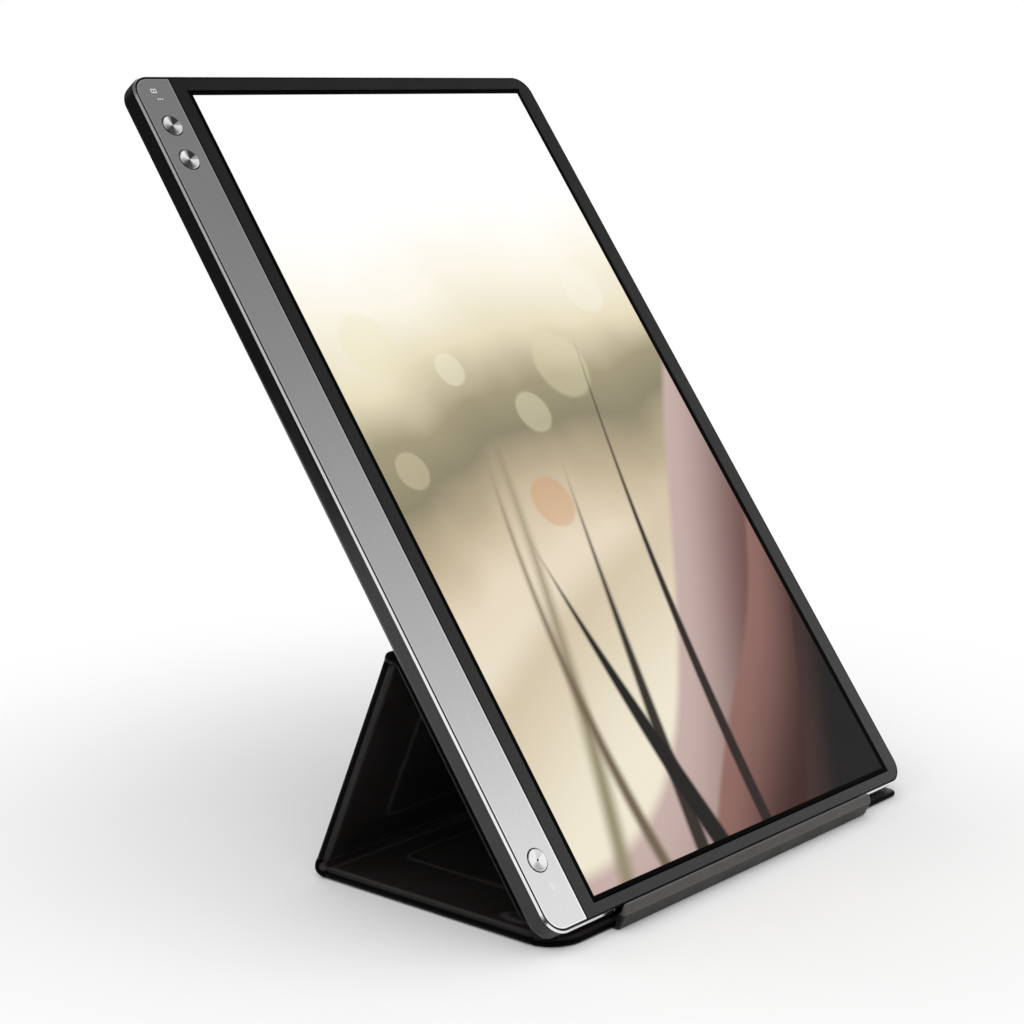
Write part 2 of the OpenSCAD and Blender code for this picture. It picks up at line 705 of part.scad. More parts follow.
module base_magnets() color("#8a8c90") on_base_leaf() base_magnet_places() magnet_block(magnet_t);

// ---------- Lip ----------
// Frame of the lip's inner face, in its side view: x up the face, y into the lip
module on_lip_face() {
    run = lip_inner - lip_foot_in;
    translate(lip_foot_in) rotate(atan2(run[1], run[0])) children();
}

// A strip inside the lip, between two depths below its inner face
module lip_layer(from_depth, to_depth, inset = 0)
    on_lip_face() translate([lip_hem + inset, from_depth])
        square([lip_face_l - lip_hem - lip_top_hem - 2 * inset, to_depth - from_depth]);

module lip_skin() color("#3a3735") difference() {
    union() {
        placed() translate([-lip_w / 2, lip_axis_y, lip_bead_r]) rotate([0, 90, 0])
            cylinder(r = lip_bead_r, h = lip_w);
        across(lip_w)
            polygon([lip_foot_out, lip_ridge, lip_tip, lip_tip_in, lip_inner, lip_foot_in]);
    }
    across(lip_w - 2 * lip_end) lip_layer(-1, lip_pocket_z);
}

module lip_core() color("#8a8c90") across(lip_w - 2 * lip_end - 2 * glue)
    lip_layer(lip_core_z, lip_core_z + lip_core_t, glue);

module lip_lining() color("#1b1a19") across(lip_w - 2 * lip_end - 2 * glue)
    lip_layer(0, lining_t, glue);

rear_cover();
trim_ring();
front_bezel();
control_strip();
menu_button();
input_button();
power_button();
display_gasket();
display_glass();
diffuser_sheets();
light_guide();
led_bar();
reflector_sheet();
display_pan();
display_flexes();
timing_board();
display_cable();
main_board();
main_chips();
power_board();
button_switches();
button_cable();
port_shell();
port_tongue();
board_screws();
monitor_magnets();
front_leaf_skin();
front_leaf_board();
front_leaf_lining();
front_leaf_magnets();
ridge_fold_leather();
rear_leaf_skin();
rear_leaf_board();
rear_leaf_lining();
rear_fold_leather();
base_leaf_skin();
base_leaf_board();
base_leaf_lining();
base_magnets();
lip_skin();
lip_core();
lip_lining();
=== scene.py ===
"""Looks of a portable monitor that leans on its own folded leather cover.

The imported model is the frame. The monitor's rigid pieces keep their own shapes and get
their finishes here. The cover's leaves, folds and lip are rebuilt as padded leather.
Shapes are written in millimetres and made in metres.
"""

import logging
import math
from dataclasses import dataclass
from enum import Enum
from typing import Callable, Sequence, Union

import bmesh
import bpy
import numpy as np
from mathutils import Euler, Matrix, Quaternion, Vector, noise


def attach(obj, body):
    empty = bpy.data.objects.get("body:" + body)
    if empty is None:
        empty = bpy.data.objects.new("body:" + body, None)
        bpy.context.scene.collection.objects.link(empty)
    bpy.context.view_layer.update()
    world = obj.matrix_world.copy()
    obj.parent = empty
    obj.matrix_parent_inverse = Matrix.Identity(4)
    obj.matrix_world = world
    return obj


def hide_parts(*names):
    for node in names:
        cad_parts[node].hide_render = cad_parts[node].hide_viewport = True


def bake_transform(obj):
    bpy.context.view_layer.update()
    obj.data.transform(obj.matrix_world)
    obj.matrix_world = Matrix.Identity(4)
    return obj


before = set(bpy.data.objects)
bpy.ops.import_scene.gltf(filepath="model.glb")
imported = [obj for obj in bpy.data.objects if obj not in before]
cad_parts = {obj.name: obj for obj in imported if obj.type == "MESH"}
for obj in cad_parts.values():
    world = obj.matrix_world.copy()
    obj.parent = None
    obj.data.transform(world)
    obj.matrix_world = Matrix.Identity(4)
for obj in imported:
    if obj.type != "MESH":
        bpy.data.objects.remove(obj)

LOG = logging.getLogger("portable_monitor")

# Name of the point attribute that carries the leather's painted light, from -1 painted shade to 1 painted
# highlight.
PAINTED_LIGHT_ATTRIBUTE = "painted_light"

# One millimetre in metres, and in millimetres the spacing of mesh points across a leaf away from
# any detail and the least spacing anywhere.
MM = 0.001
COARSE = 2.4
CLOSEST = 0.02

# A corner is a place and the length that its rounding takes. A detail is the centre, the half
# width and the spacing of a stretch with closer mesh points. A loop is an outer and an inner outline.
Colour = tuple[float, float, float]
Place = tuple[float, float, float]
Point = tuple[float, float]
Corner = tuple[float, float, float]
Detail = tuple[float, float, float]
Loop = tuple[list[Point], list[Point]]
Socket = bpy.types.NodeSocket
Feed = Union[Socket, float, tuple[float, ...]]


class Body(Enum):
    """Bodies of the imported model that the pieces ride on."""

    MONITOR = "monitor"
    REAR_LEAF = "rear_leaf"
    BASE_LEAF = "base_leaf"
    LIP = "lip"
    MENU = "menu_button"
    INPUT = "input_button"
    POWER = "power_button"


class Slot(Enum):
    """Material slots of the record, by name; no piece here takes its finish from them."""

    LEATHER = "cover_leather"
    LINING = "cover_lining"
    LIP = "lip_leather"
    SPUN = "spun_metal"
    MARK = "white_film"
    DARK = "chip_epoxy"


# ---------------------------------------------------------------- places


@dataclass(frozen=True)
class Stand:
    """Sizes and places of the monitor and its stand, as the solids have them, in millimetres."""

    middle_y: float = 95.6816
    edge_z: float = 6.29295
    tilt: float = 54.3
    rear_lean: float = 66.0
    monitor_w: float = 209.8
    monitor_l: float = 325.0
    monitor_t: float = 9.0
    corner_r: float = 8.0
    chamfer: float = 0.7
    trim_w: float = 0.85
    groove: float = 0.3
    strip_w: float = 17.9
    picture_x: float = -79.1
    picture_y: float = 7.0
    picture_w: float = 174.3
    picture_l: float = 309.9
    ridge_up: float = 101.4
    seat_gap: float = 0.35
    cover_w: float = 204.0
    leaf_t: float = 3.2
    trough_t: float = 2.0
    trough_l: float = 9.5
    rim_w: float = 4.0
    fold_land: float = 3.5
    fold_in_r: float = 1.3
    front_l: float = 94.4
    rear_l: float = 83.2538
    base_l: float = 103.2808
    ridge_y: float = 70.4184
    ridge_z: float = 80.5562
    fold_y: float = 104.2808

    @property
    def strip_right(self) -> float:
        """Place of the control strip's right edge."""
        return self.strip_w - self.monitor_w / 2

    @property
    def fold_out_r(self) -> float:
        """Outer radius of a fold."""
        return self.fold_in_r + self.leaf_t

    def placed(self) -> Matrix:
        """Frame of the stand: y runs back from the monitor's front bottom edge."""
        return Matrix.Translation((0, -self.middle_y, 0))

    def monitor(self) -> Matrix:
        """Frame of the monitor: y up from its bottom edge, z out of its face."""
        lean = Matrix.Rotation(math.radians(self.tilt), 4, "X")
        return self.placed() @ Matrix.Translation((0, 0, self.edge_z)) @ lean

    def front_leaf(self) -> Matrix:
        """Frame of the front leaf: y down from the ridge, z from its outer face inwards."""
        seat = Matrix.Translation((0, self.ridge_up, -self.monitor_t - self.seat_gap))
        return self.monitor() @ seat @ Matrix.Rotation(math.pi, 4, "X")

    def rear_leaf(self) -> Matrix:
        """Places the rear leaf.

        Returns:
            Its frame: y up from the rear fold, z from its outer face inwards.
        """
        lean, reach = math.radians(self.rear_lean), self.fold_out_r
        start = (0, self.fold_y + reach * math.sin(lean), reach * (1 + math.cos(lean)))
        return self.placed() @ Matrix.Translation(start) @ Matrix.Rotation(math.pi - lean, 4, "X")

    def base_leaf(self) -> Matrix:
        """Frame of the base leaf: y forward from the rear fold, z up from the table."""
        return self.placed() @ Matrix.Translation((0, self.fold_y, 0)) @ Matrix.Scale(-1, 4, (0, 1, 0))


STAND = Stand()


# ---------------------------------------------------------------- meshes


def make_object(name: str, mesh: bpy.types.Mesh) -> bpy.types.Object:
    """Links a mesh to the scene as a smooth shaded object.

    Args:
        name: Name of the piece.
        mesh: Its mesh, in metres.

    Returns:
        The new object.
    """
    mesh.name = name
    made = bpy.data.objects.new(name, mesh)
    bpy.context.scene.collection.objects.link(made)
    mesh.polygons.foreach_set("use_smooth", [True] * len(mesh.polygons))
    return made


def mesh_from(
    points: np.ndarray,
    faces: Sequence[Sequence[int]],
    place: Matrix | None = None,
    painted_light: np.ndarray | None = None,
) -> bpy.types.Mesh:
    """Makes a welded mesh with outward normals from points in millimetres.

    Args:
        points: One row of x, y, z for each point.
        faces: Point numbers of each face.
        place: Frame that the points are in, if it isn't the row frame.
        painted_light: Painted light at each point, from -1 painted shade to 1 painted highlight.

    Returns:
        The mesh, in metres.
    """
    grid = bmesh.new()
    place = place or Matrix.Identity(4)
    layer = grid.verts.layers.float.new(PAINTED_LIGHT_ATTRIBUTE) if painted_light is not None else None
    corners = [grid.verts.new(place @ Vector(p) * MM) for p in points.tolist()]
    if layer:
        for corner, value in zip(corners, painted_light.tolist()):
            corner[layer] = value
    for face in faces:
        if len(set(face)) > 2:
            grid.faces.new([corners[i] for i in face])
    bmesh.ops.remove_doubles(grid, verts=grid.verts, dist=1e-6)
    bmesh.ops.dissolve_degenerate(grid, edges=grid.edges, dist=1e-7)
    loose = [v for v in grid.verts if not v.link_faces]
    bmesh.ops.delete(grid, geom=loose, context="VERTS")
    bmesh.ops.recalc_face_normals(grid, faces=grid.faces)
    mesh = bpy.data.meshes.new("piece")
    grid.to_mesh(mesh)
    grid.free()
    return mesh


def closed_sheet(
    upper: np.ndarray,
    lower: np.ndarray,
    place: Matrix,
    painted_light: tuple[np.ndarray, np.ndarray] | None = None,
) -> bpy.types.Mesh:
    """Joins two point grids of the same size into one closed body.

    Args:
        upper: Points of the upper face, rows by columns by 3, in millimetres.
        lower: Points of the lower face, the same size.
        place: Frame of the points.
        painted_light: Painted light and shade of the upper and the lower points.

    Returns:
        The closed mesh.
    """
    rows, cols = upper.shape[:2]
    points = np.concatenate([upper.reshape(-1, 3), lower.reshape(-1, 3)])
    under = rows * cols
    faces = []
    for i in range(rows - 1):
        for j in range(cols - 1):
            a = i * cols + j
            quad = [a, a + 1, a + cols + 1, a + cols]
            faces.append(quad)
            faces.append([under + k for k in reversed(quad)])
    for i in range(rows - 1):
        for j in (0, cols - 1):
            a, b = i * cols + j, (i + 1) * cols + j
            faces.append([a, b, under + b, under + a])
    for i in (0, rows - 1):
        for j in range(cols - 1):
            a = i * cols + j
            faces.append([a, a + 1, under + a + 1, under + a])
    keep = [f for f in faces if has_area(points, f)]
    painted_light_and_shade = None if painted_light is None else np.concatenate([w.ravel() for w in painted_light])
    return mesh_from(points, keep, place, painted_light_and_shade)


def has_area(points: np.ndarray, face: Sequence[int]) -> bool:
    """Tells whether a four-sided face has any area."""
    a, b, c, d = (points[i] for i in face)
    return float(np.linalg.norm(np.cross(c - a, d - b))) > 1e-9


def stations(length: float, coarse: float, fine: Sequence[Detail]) -> np.ndarray:
    """Places along a line, close together where there is detail.

    Args:
        length: Length of the line.
        coarse: Spacing where there is no detail.
        fine: Centre, half width and spacing of each place with detail.

    Returns:
        Sorted places from 0 to the length.
    """
    found = list(np.linspace(0, length, max(2, round(length / coarse) + 1)))
    for centre, half, step in fine:
        low, high = max(0.0, centre - half), min(length, centre + half)
        found = [x for x in found if not low < x < high or x in (0.0, length)]
        found += list(np.linspace(low, high, max(2, round((high - low) / step) + 1)))
    kept: list[float] = []
    for x in sorted(found):
        if not kept or x - kept[-1] > CLOSEST:
            kept.append(float(x))
    kept[-1] = length
    return np.array(kept)


def edge_steps(radius: float) -> list[float]:
    """Distances in from a rounded edge, at even turns of its arc."""
    return [radius * (1 - math.cos(math.radians(a))) for a in (0, 14, 28, 42, 56, 73, 90)]


def shares_across(half: float, edge: float, fine: Sequence[Detail]) -> np.ndarray:
    """Places across a leaf as shares of its half width, close together at both edges.

    Args:
        half: Half of the width.
        edge: Radius of the rounded edge.
        fine: Centre, half width and spacing of each place with detail.

    Returns:
        Sorted shares from -1 to 1.
    """
    inward = stations(half, COARSE, fine)
    inward = np.concatenate([inward[inward > edge], edge_steps(edge)])
    inward = np.array(sorted(set(np.round(inward, 5))))[:-1] / half
    return np.concatenate([-1 + inward, [0.0], (1 - inward)[::-1]])


def smooth(low: float, high: float, x: np.ndarray) -> np.ndarray:
    """Smooth step from 0 at low to 1 at high."""
    t = np.clip((x - low) / (high - low), 0, 1)
    return t * t * (3 - 2 * t)


def ridge_line(x: np.ndarray, width: float) -> np.ndarray:
    """Soft line of height 1 where x is 0."""
    return np.exp(-((x / width) ** 2))


def edge_light_and_shade(depth: np.ndarray, at: float = 2.0, width: float = 1.3) -> np.ndarray:
    """Painted light of a rolled edge: painted shade at its side and a painted highlight on its shoulder.

    Args:
        depth: Distance in from the edge.
        at: Distance in of the painted highlight line.
        width: Width of the painted highlight line.

    Returns:
        The painted light at each distance.
    """
    return 0.8 * ridge_line(depth - at, width) - (1 - smooth(0.05 * at, 0.5 * at, depth))


def box_distance(
    x: np.ndarray, y: np.ndarray, low_y: float, high_y: float, half_w: float, radius: float
) -> np.ndarray:
    """Measures how far in from the outline of a rounded box each point is.

    Args:
        x: Places across.
        y: Places along.
        low_y: First end of the box along y.
        high_y: Last end of the box along y.
        half_w: Half of its width.
        radius: Radius of its corners.

    Returns:
        The distances, negative outside the box.
    """
    mid, half_l = (low_y + high_y) / 2, (high_y - low_y) / 2
    qx, qy = np.abs(x) - half_w + radius, np.abs(y - mid) - half_l + radius
    out = np.hypot(np.maximum(qx, 0), np.maximum(qy, 0))
    return radius - out - np.minimum(np.maximum(qx, qy), 0)


def wander(x: np.ndarray, y: np.ndarray, size: float, seed: float) -> np.ndarray:
    """Smooth unevenness between about -1 and 1, with lumps of the given size."""
    flat = [noise.noise(Vector((a / size, b / size, seed))) for a, b in zip(x.ravel(), y.ravel())]
    return np.array(flat).reshape(x.shape)


def rolled(depth: np.ndarray, radius: np.ndarray | float) -> np.ndarray:
    """Half thickness of an edge with a full round, at a distance in from the edge."""
    inside = np.clip(depth, 0, radius)
    return np.sqrt(np.maximum(0, inside * (2 * radius - inside)))


def filleted(corners: Sequence[Corner], steps: int = 5) -> list[Point]:
    """Rounds the corners of a closed outline.

    Args:
        corners: Place of each corner and the length that its rounding takes of each side.
        steps: Points in each rounding.

    Returns:
        Points of the outline.
    """
    found: list[Point] = []
    for i, (x, y, cut) in enumerate(corners):
        here = Vector((x, y))
        before, after = (Vector(corners[k % len(corners)][:2]) for k in (i - 1, i + 1))
        start = here + (before - here).normalized() * cut
        end = here + (after - here).normalized() * cut
        for k in range(steps):
            t = k / (steps - 1)
            p = start * (1 - t) ** 2 + here * (2 * t * (1 - t)) + end * t**2
            found.append((p.x, p.y))
    return found


# ---------------------------------------------------------------- finishes


class Nodes:
    """A node tree, with short calls for the nodes that the finishes and the studio use."""

    def __init__(self, tree: bpy.types.NodeTree) -> None:
        """Takes the tree that the nodes are added to."""
        self.tree = tree

    def add(self, kind: str, **settings: object) -> bpy.types.Node:
        """Adds a node.

        Args:
            kind: Type of the node.
            settings: Its properties.

        Returns:
            The new node.
        """
        node = self.tree.nodes.new(kind)
        for key, value in settings.items():
            setattr(node, key, value)
        return node

    def put(self, socket: Socket, value: Feed) -> None:
        """Feeds an input.

        Args:
            socket: The input.
            value: An output to link to it, or a plain value.
        """
        if isinstance(value, Socket):
            self.tree.links.new(value, socket)
        else:
            socket.default_value = value

    def calc(self, operation: str, a: Feed, b: Feed = 0.0, c: Feed = 0.0, clamp: bool = False) -> Socket:
        """Adds a Math node.

        Args:
            operation: What it works out.
            a: Its first value.
            b: Its second value.
            c: Its third value.
            clamp: Whether the result is kept between 0 and 1.

        Returns:
            The result.
        """
        node = self.add("ShaderNodeMath", operation=operation, use_clamp=clamp)
        for socket, value in zip(node.inputs, (a, b, c)):
            self.put(socket, value)
        return node.outputs[0]

    def ramp(self, value: Feed, stops: Sequence[tuple[float, Colour]]) -> Socket:
        """Adds a colour ramp.

        Args:
            value: Place on the ramp.
            stops: Place and colour of each stop.

        Returns:
            The colour.
        """
        node = self.add("ShaderNodeValToRGB")
        band = node.color_ramp
        band.elements[0].position, band.elements[1].position = stops[0][0], stops[-1][0]
        band.elements[0].color, band.elements[1].color = (*stops[0][1], 1), (*stops[-1][1], 1)
        for position, colour in stops[1:-1]:
            band.elements.new(position).color = (*colour, 1)
        self.put(node.inputs[0], value)
        return node.outputs[0]

    def span(
        self, value: Feed, low: float, high: float, a: float, b: float, kind: str = "SMOOTHSTEP"
    ) -> Socket:
        """Maps a value from one range to another, clamped.

        Args:
            value: The value.
            low: Start of its range.
            high: End of its range.
            a: Result at the start.
            b: Result at the end.
            kind: How the result runs between them.

        Returns:
            The result.
        """
        node = self.add("ShaderNodeMapRange", interpolation_type=kind)
        for socket, given in zip(node.inputs, (value, low, high, a, b)):
            self.put(socket, given)
        return node.outputs[0]

    def step(self, value: Feed, at: float, blur: float) -> Socket:
        """Returns 0 below a place and 1 above it, blurred by the given half width."""
        return self.span(value, at - blur, at + blur, 0.0, 1.0)

    def fall(self, value: Feed, at: float, blur: float) -> Socket:
        """Returns 1 below a place and 0 above it, blurred by the given half width."""
        return self.span(value, at - blur, at + blur, 1.0, 0.0)

    def rays(self, *kinds: str) -> Socket:
        """Tells some kinds of ray from the others.

        Args:
            kinds: Names of the kinds.

        Returns:
            1 for rays of these kinds and 0 for others.
        """
        path = self.add("ShaderNodeLightPath")
        found = path.outputs[kinds[0]]
        for kind in kinds[1:]:
            found = self.calc("MAXIMUM", found, path.outputs[kind])
        return found


class Graph(Nodes):
    """A material's node tree."""

    def __init__(self, name: str) -> None:
        """Starts a material with one plain shader.

        Args:
            name: Name of the material.
        """
        self.material = bpy.data.materials.new(name)
        self.material.use_nodes = True
        super().__init__(self.material.node_tree)
        self.shader = self.tree.nodes["Principled BSDF"]
        self.place = self.add("ShaderNodeTexCoord").outputs["Object"]

    def set(self, **values: Feed) -> None:
        """Sets or links the shader's sockets, with _ for the spaces in their names."""
        for key, value in values.items():
            self.put(self.shader.inputs[key.replace("_", " ")], value)

    def noise(
        self, scale: float, detail: float = 3, roughness: float = 0.5, at: Socket | None = None
    ) -> Socket:
        """Adds a Noise texture.

        Args:
            scale: Lumps per metre.
            detail: Levels of finer lumps.
            roughness: How much the finer lumps count.
            at: Place on the texture, if it isn't the piece's own.

        Returns:
            The texture's value.
        """
        node = self.add("ShaderNodeTexNoise")
        self.put(node.inputs["Vector"], at or self.place)
        for name, value in (("Scale", scale), ("Detail", detail), ("Roughness", roughness)):
            self.put(node.inputs[name], value)
        return node.outputs[0]

    def cells(self, scale: float, feature: str = "F1", at: Socket | None = None) -> Socket:
        """Adds a Voronoi texture.

        Args:
            scale: Cells per metre.
            feature: What is measured.
            at: Place on the texture, if it isn't the piece's own.

        Returns:
            The measured distance.
        """
        node = self.add("ShaderNodeTexVoronoi", feature=feature)
        self.put(node.inputs["Vector"], at or self.place)
        node.inputs["Scale"].default_value = scale
        return node.outputs["Distance"]

    def mix(self, factor: Feed, a: Feed, b: Feed) -> Socket:
        """Mixes two colours.

        Args:
            factor: 0 for the first and 1 for the second.
            a: The first colour.
            b: The second colour.

        Returns:
            The mixed colour.
        """
        node = self.add("ShaderNodeMix", data_type="RGBA")
        self.put(node.inputs["Factor"], factor)
        for socket, value in ((node.inputs[6], a), (node.inputs[7], b)):
            self.put(socket, (*value, 1) if isinstance(value, tuple) else value)
        return node.outputs[2]

    def bump(self, height: Feed, strength: float, depth_mm: float, over: Socket | None = None) -> Socket:
        """Adds a Bump node.

        Args:
            height: Height of the surface.
            strength: How much it counts.
            depth_mm: Depth of a height of 1, in millimetres.
            over: Normal that it is laid over.

        Returns:
            The normal.
        """
        node = self.add("ShaderNodeBump")
        node.inputs["Strength"].default_value = strength
        node.inputs["Distance"].default_value = depth_mm * MM
        self.put(node.inputs["Height"], height)
        if over is not None:
            self.put(node.inputs["Normal"], over)
        return node.outputs[0]

    def relink(self, name: str, change: Callable[[Feed], Feed]) -> None:
        """Changes what feeds a shader socket.

        Args:
            name: Name of the socket.
            change: Makes the new feed out of the old one.
        """
        socket = self.shader.inputs[name]
        before = socket.links[0].from_socket if socket.links else socket.default_value
        self.put(socket, change(before))

    def face_depth(self, x: Feed, y: Feed) -> Socket:
        """Measures how far in from the housing's outline a place on the face is.

        Args:
            x: Place across the monitor, in millimetres.
            y: Place up the monitor.

        Returns:
            The distance, in millimetres.
        """
        wide = self.calc("SUBTRACT", self.calc("ABSOLUTE", x), STAND.monitor_w / 2 - STAND.corner_r)
        tall = self.calc("ABSOLUTE", self.calc("SUBTRACT", y, STAND.monitor_l / 2))
        tall = self.calc("SUBTRACT", tall, STAND.monitor_l / 2 - STAND.corner_r)
        past = [self.calc("MAXIMUM", q, 0.0) for q in (wide, tall)]
        out = self.calc("SQRT", self.calc("ADD", *(self.calc("MULTIPLY", q, q) for q in past)))
        inner = self.calc("MINIMUM", self.calc("MAXIMUM", wide, tall), 0.0)
        return self.calc("SUBTRACT", self.calc("SUBTRACT", STAND.corner_r, out), inner)

    def monitor_place(self) -> tuple[Socket, Socket, Socket]:
        """Finds a point's place in the monitor's own frame.

        Returns:
            x, y and z, in millimetres.
        """
        in_metres = Matrix.Scale(MM, 4) @ STAND.monitor() @ Matrix.Scale(1 / MM, 4)
        to_mm = (1 / MM, 1 / MM, 1 / MM)
        node = self.add("ShaderNodeMapping")
        self.put(node.inputs["Vector"], self.place)
        node.inputs["Location"].default_value = in_metres.inverted().translation / MM
        node.inputs["Rotation"].default_value = Euler((-math.radians(STAND.tilt), 0, 0))
        node.inputs["Scale"].default_value = to_mm
        apart = self.add("ShaderNodeSeparateXYZ")
        self.put(apart.inputs[0], node.outputs[0])
        return apart.outputs[0], apart.outputs[1], apart.outputs[2]


@dataclass(frozen=True)
class Finish:
    """A plain finish with uneven colour, uneven gloss and a fine surface."""

    name: str
    colour: Colour
    other: Colour
    roughness: float = 0.5
    uneven: float = 0.06
    metallic: float = 0.0
    specular: float = 0.5
    patch: float = 60.0
    grain: float = 2500.0
    grain_strength: float = 0.2
    grain_depth: float = 0.02

    def tone(self, graph: Graph, shade: Feed, low: float = 0.3, high: float = 0.7) -> Socket:
        """Returns the colour between the finish's two, over a range of the shade."""
        return graph.mix(graph.span(shade, low, high, 0.0, 1.0), self.colour, self.other)

    def gloss(self, graph: Graph, blotch: Feed, high: float = 0.7) -> Socket:
        """Returns the uneven roughness, over a range of the blotches."""
        return graph.span(blotch, 0.3, high, self.roughness - self.uneven, self.roughness + self.uneven)

    def surface(self, graph: Graph) -> None:
        """Sets the shader's colour, gloss and fine surface.

        Args:
            graph: The material's nodes.
        """
        blotch = graph.noise(self.patch, 4, 0.6)
        fine = graph.noise(self.grain, 2)
        shade = graph.calc("ADD", graph.calc("MULTIPLY", blotch, 0.6), graph.calc("MULTIPLY", fine, 0.4))
        graph.set(
            Base_Color=self.tone(graph, shade),
            Roughness=self.gloss(graph, blotch),
            Metallic=self.metallic,
            Specular_IOR_Level=self.specular,
            Normal=graph.bump(fine, self.grain_strength, self.grain_depth),
        )

    def build(self) -> bpy.types.Material:
        """Makes the material.

        Returns:
            The material.
        """
        graph = Graph(self.name)
        self.surface(graph)
        return graph.material


@dataclass(frozen=True)
class Leather(Finish):
    """Grained synthetic leather: small pebbles in fine creases, with a soft sheen."""

    pebble: float = 1500.0
    pebble_depth: float = 0.05
    crease_share: float = 0.42
    drift: float = 700.0
    drift_reach: float = 0.0005
    sheen: float = 0.12
    sheen_tint: Colour = (0.6, 0.56, 0.52)
    # Painted highlight colour and painted shade colour that the painted_light attribute mixes in.
    painted_highlight: Colour = (0.075, 0.070, 0.067)
    shaded: Colour = (0.0012, 0.001, 0.001)

    def surface(self, graph: Graph) -> None:
        """Sets the grain, the creases and the worn gloss.

        Args:
            graph: The material's nodes.
        """
        drift = graph.add("ShaderNodeTexNoise")
        graph.put(drift.inputs["Vector"], graph.place)
        graph.put(drift.inputs["Scale"], self.drift)
        bend = graph.add("ShaderNodeVectorMath", operation="MULTIPLY_ADD")
        graph.put(bend.inputs[0], drift.outputs["Color"])
        graph.put(bend.inputs[1], (self.drift_reach,) * 3)
        graph.put(bend.inputs[2], graph.place)
        pebbles = graph.cells(self.pebble, "SMOOTH_F1", bend.outputs[0])
        crease = graph.cells(self.pebble * self.crease_share, "DISTANCE_TO_EDGE", bend.outputs[0])
        blotch = graph.noise(self.patch, 5, 0.62)
        flat = graph.calc("MULTIPLY", graph.span(crease, 0.0, 0.12, 0.0, 1.0), 0.35)
        height = graph.calc("ADD", graph.calc("MULTIPLY", pebbles, -0.8), flat)
        shade = graph.calc("ADD", graph.calc("MULTIPLY", blotch, 0.75), graph.calc("MULTIPLY", height, 0.3))
        soft = graph.bump(blotch, 0.15, 0.3)
        graph.set(
            Base_Color=self.tone(graph, shade, 0.15, 0.6),
            Roughness=self.gloss(graph, blotch, 0.72),
            Specular_IOR_Level=self.specular,
            Sheen_Weight=self.sheen,
            Sheen_Roughness=0.45,
            Sheen_Tint=(*self.sheen_tint, 1),
            Normal=graph.bump(height, self.grain_strength, self.pebble_depth, soft),
        )
        self.painted_light_and_shade(graph, blotch)

    def painted_light_and_shade(self, graph: Graph, blotch: Socket) -> None:
        """Paints highlights on edge shoulders and pressed lines, and shade on edge sides and outer faces.

        Args:
            graph: The material's nodes.
            blotch: Unevenness of the leather.
        """
        painted_light = graph.add("ShaderNodeAttribute", attribute_name=PAINTED_LIGHT_ATTRIBUTE).outputs["Fac"]
        light = graph.span(graph.calc("MULTIPLY_ADD", blotch, 0.2, painted_light), 0.1, 1.1, 0.0, 1.0)
        painted_dark = graph.span(graph.calc("MULTIPLY", painted_light, -1.0), 0.0, 1.0, 0.0, 1.0)
        # Painted highlight and painted shade in the base colour; the painted shade also drops the gloss and
        # sheen.
        graph.relink("Base Color", lambda leather: graph.mix(light, leather, self.painted_highlight))
        graph.relink("Base Color", lambda leather: graph.mix(painted_dark, leather, self.shaded))
        graph.relink("Specular IOR Level", lambda _: graph.span(painted_dark, 0.0, 1.0, self.specular, 0.03))
        graph.relink("Sheen Weight", lambda _: graph.span(painted_dark, 0.0, 1.0, self.sheen, 0.0))


@dataclass(frozen=True)
class LipLeather(Leather):
    """The lip's leather, with painted shade and less gloss on the lower face turned to the table, and a
    painted highlight on its crest.
    """

    # Heights of the painted shade's upper edge and of the crest's painted highlight.
    shade_below_z: float = 5.3
    shade_below_blur: float = 0.4
    crest_highlight_z: float = 8.45
    crest_highlight_blur: float = 0.25
    dull: float = 0.5
    # Painted shade colour of the lower face and painted highlight colour of the crest.
    under: Colour = (0.0078, 0.007, 0.0066)
    crest: Colour = (0.1, 0.093, 0.09)

    def surface(self, graph: Graph) -> None:
        """Sets the leather, the painted shade on its lower face and the painted highlight on its crest.

        Args:
            graph: The material's nodes.
        """
        super().surface(graph)
        apart = graph.add("ShaderNodeSeparateXYZ")
        graph.put(apart.inputs[0], graph.place)
        # Masks of the painted shade below the facet fold and of the painted highlight along the crest.
        low = graph.fall(apart.outputs[2], self.shade_below_z * MM, self.shade_below_blur * MM)
        high = graph.step(apart.outputs[2], self.crest_highlight_z * MM, self.crest_highlight_blur * MM)
        graph.relink("Base Color", lambda leather: graph.mix(low, leather, self.under))
        graph.relink("Base Color", lambda leather: graph.mix(high, leather, self.crest))
        dull = graph.span(low, 0.0, 1.0, self.specular, self.specular * self.dull)
        graph.relink("Specular IOR Level", lambda _: dull)


@dataclass(frozen=True)
class Blasted(Finish):
    """Satin metal with a fine blasted surface and very faint lines from rolling."""

    line_stretch: float = 0.02
    line_grain: float = 0.6
    speckle_grain: float = 1.6

    def surface(self, graph: Graph) -> None:
        """Sets the blasted speckle and the rolling lines.

        Args:
            graph: The material's nodes.
        """
        stretch = graph.add("ShaderNodeMapping")
        graph.put(stretch.inputs["Vector"], graph.place)
        graph.put(stretch.inputs["Scale"], (1, self.line_stretch, self.line_stretch))
        lines = graph.noise(self.grain * self.line_grain, 3, 0.6, stretch.outputs[0])
        speckle = graph.noise(self.grain * self.speckle_grain, 2, 0.7)
        blotch = graph.noise(self.patch, 3)
        mixed = graph.calc("ADD", graph.calc("MULTIPLY", lines, 0.45), graph.calc("MULTIPLY", speckle, 0.55))
        graph.set(
            Base_Color=self.tone(graph, mixed),
            Roughness=self.gloss(graph, blotch),
            Metallic=self.metallic,
            Normal=graph.bump(mixed, self.grain_strength, self.grain_depth),
        )


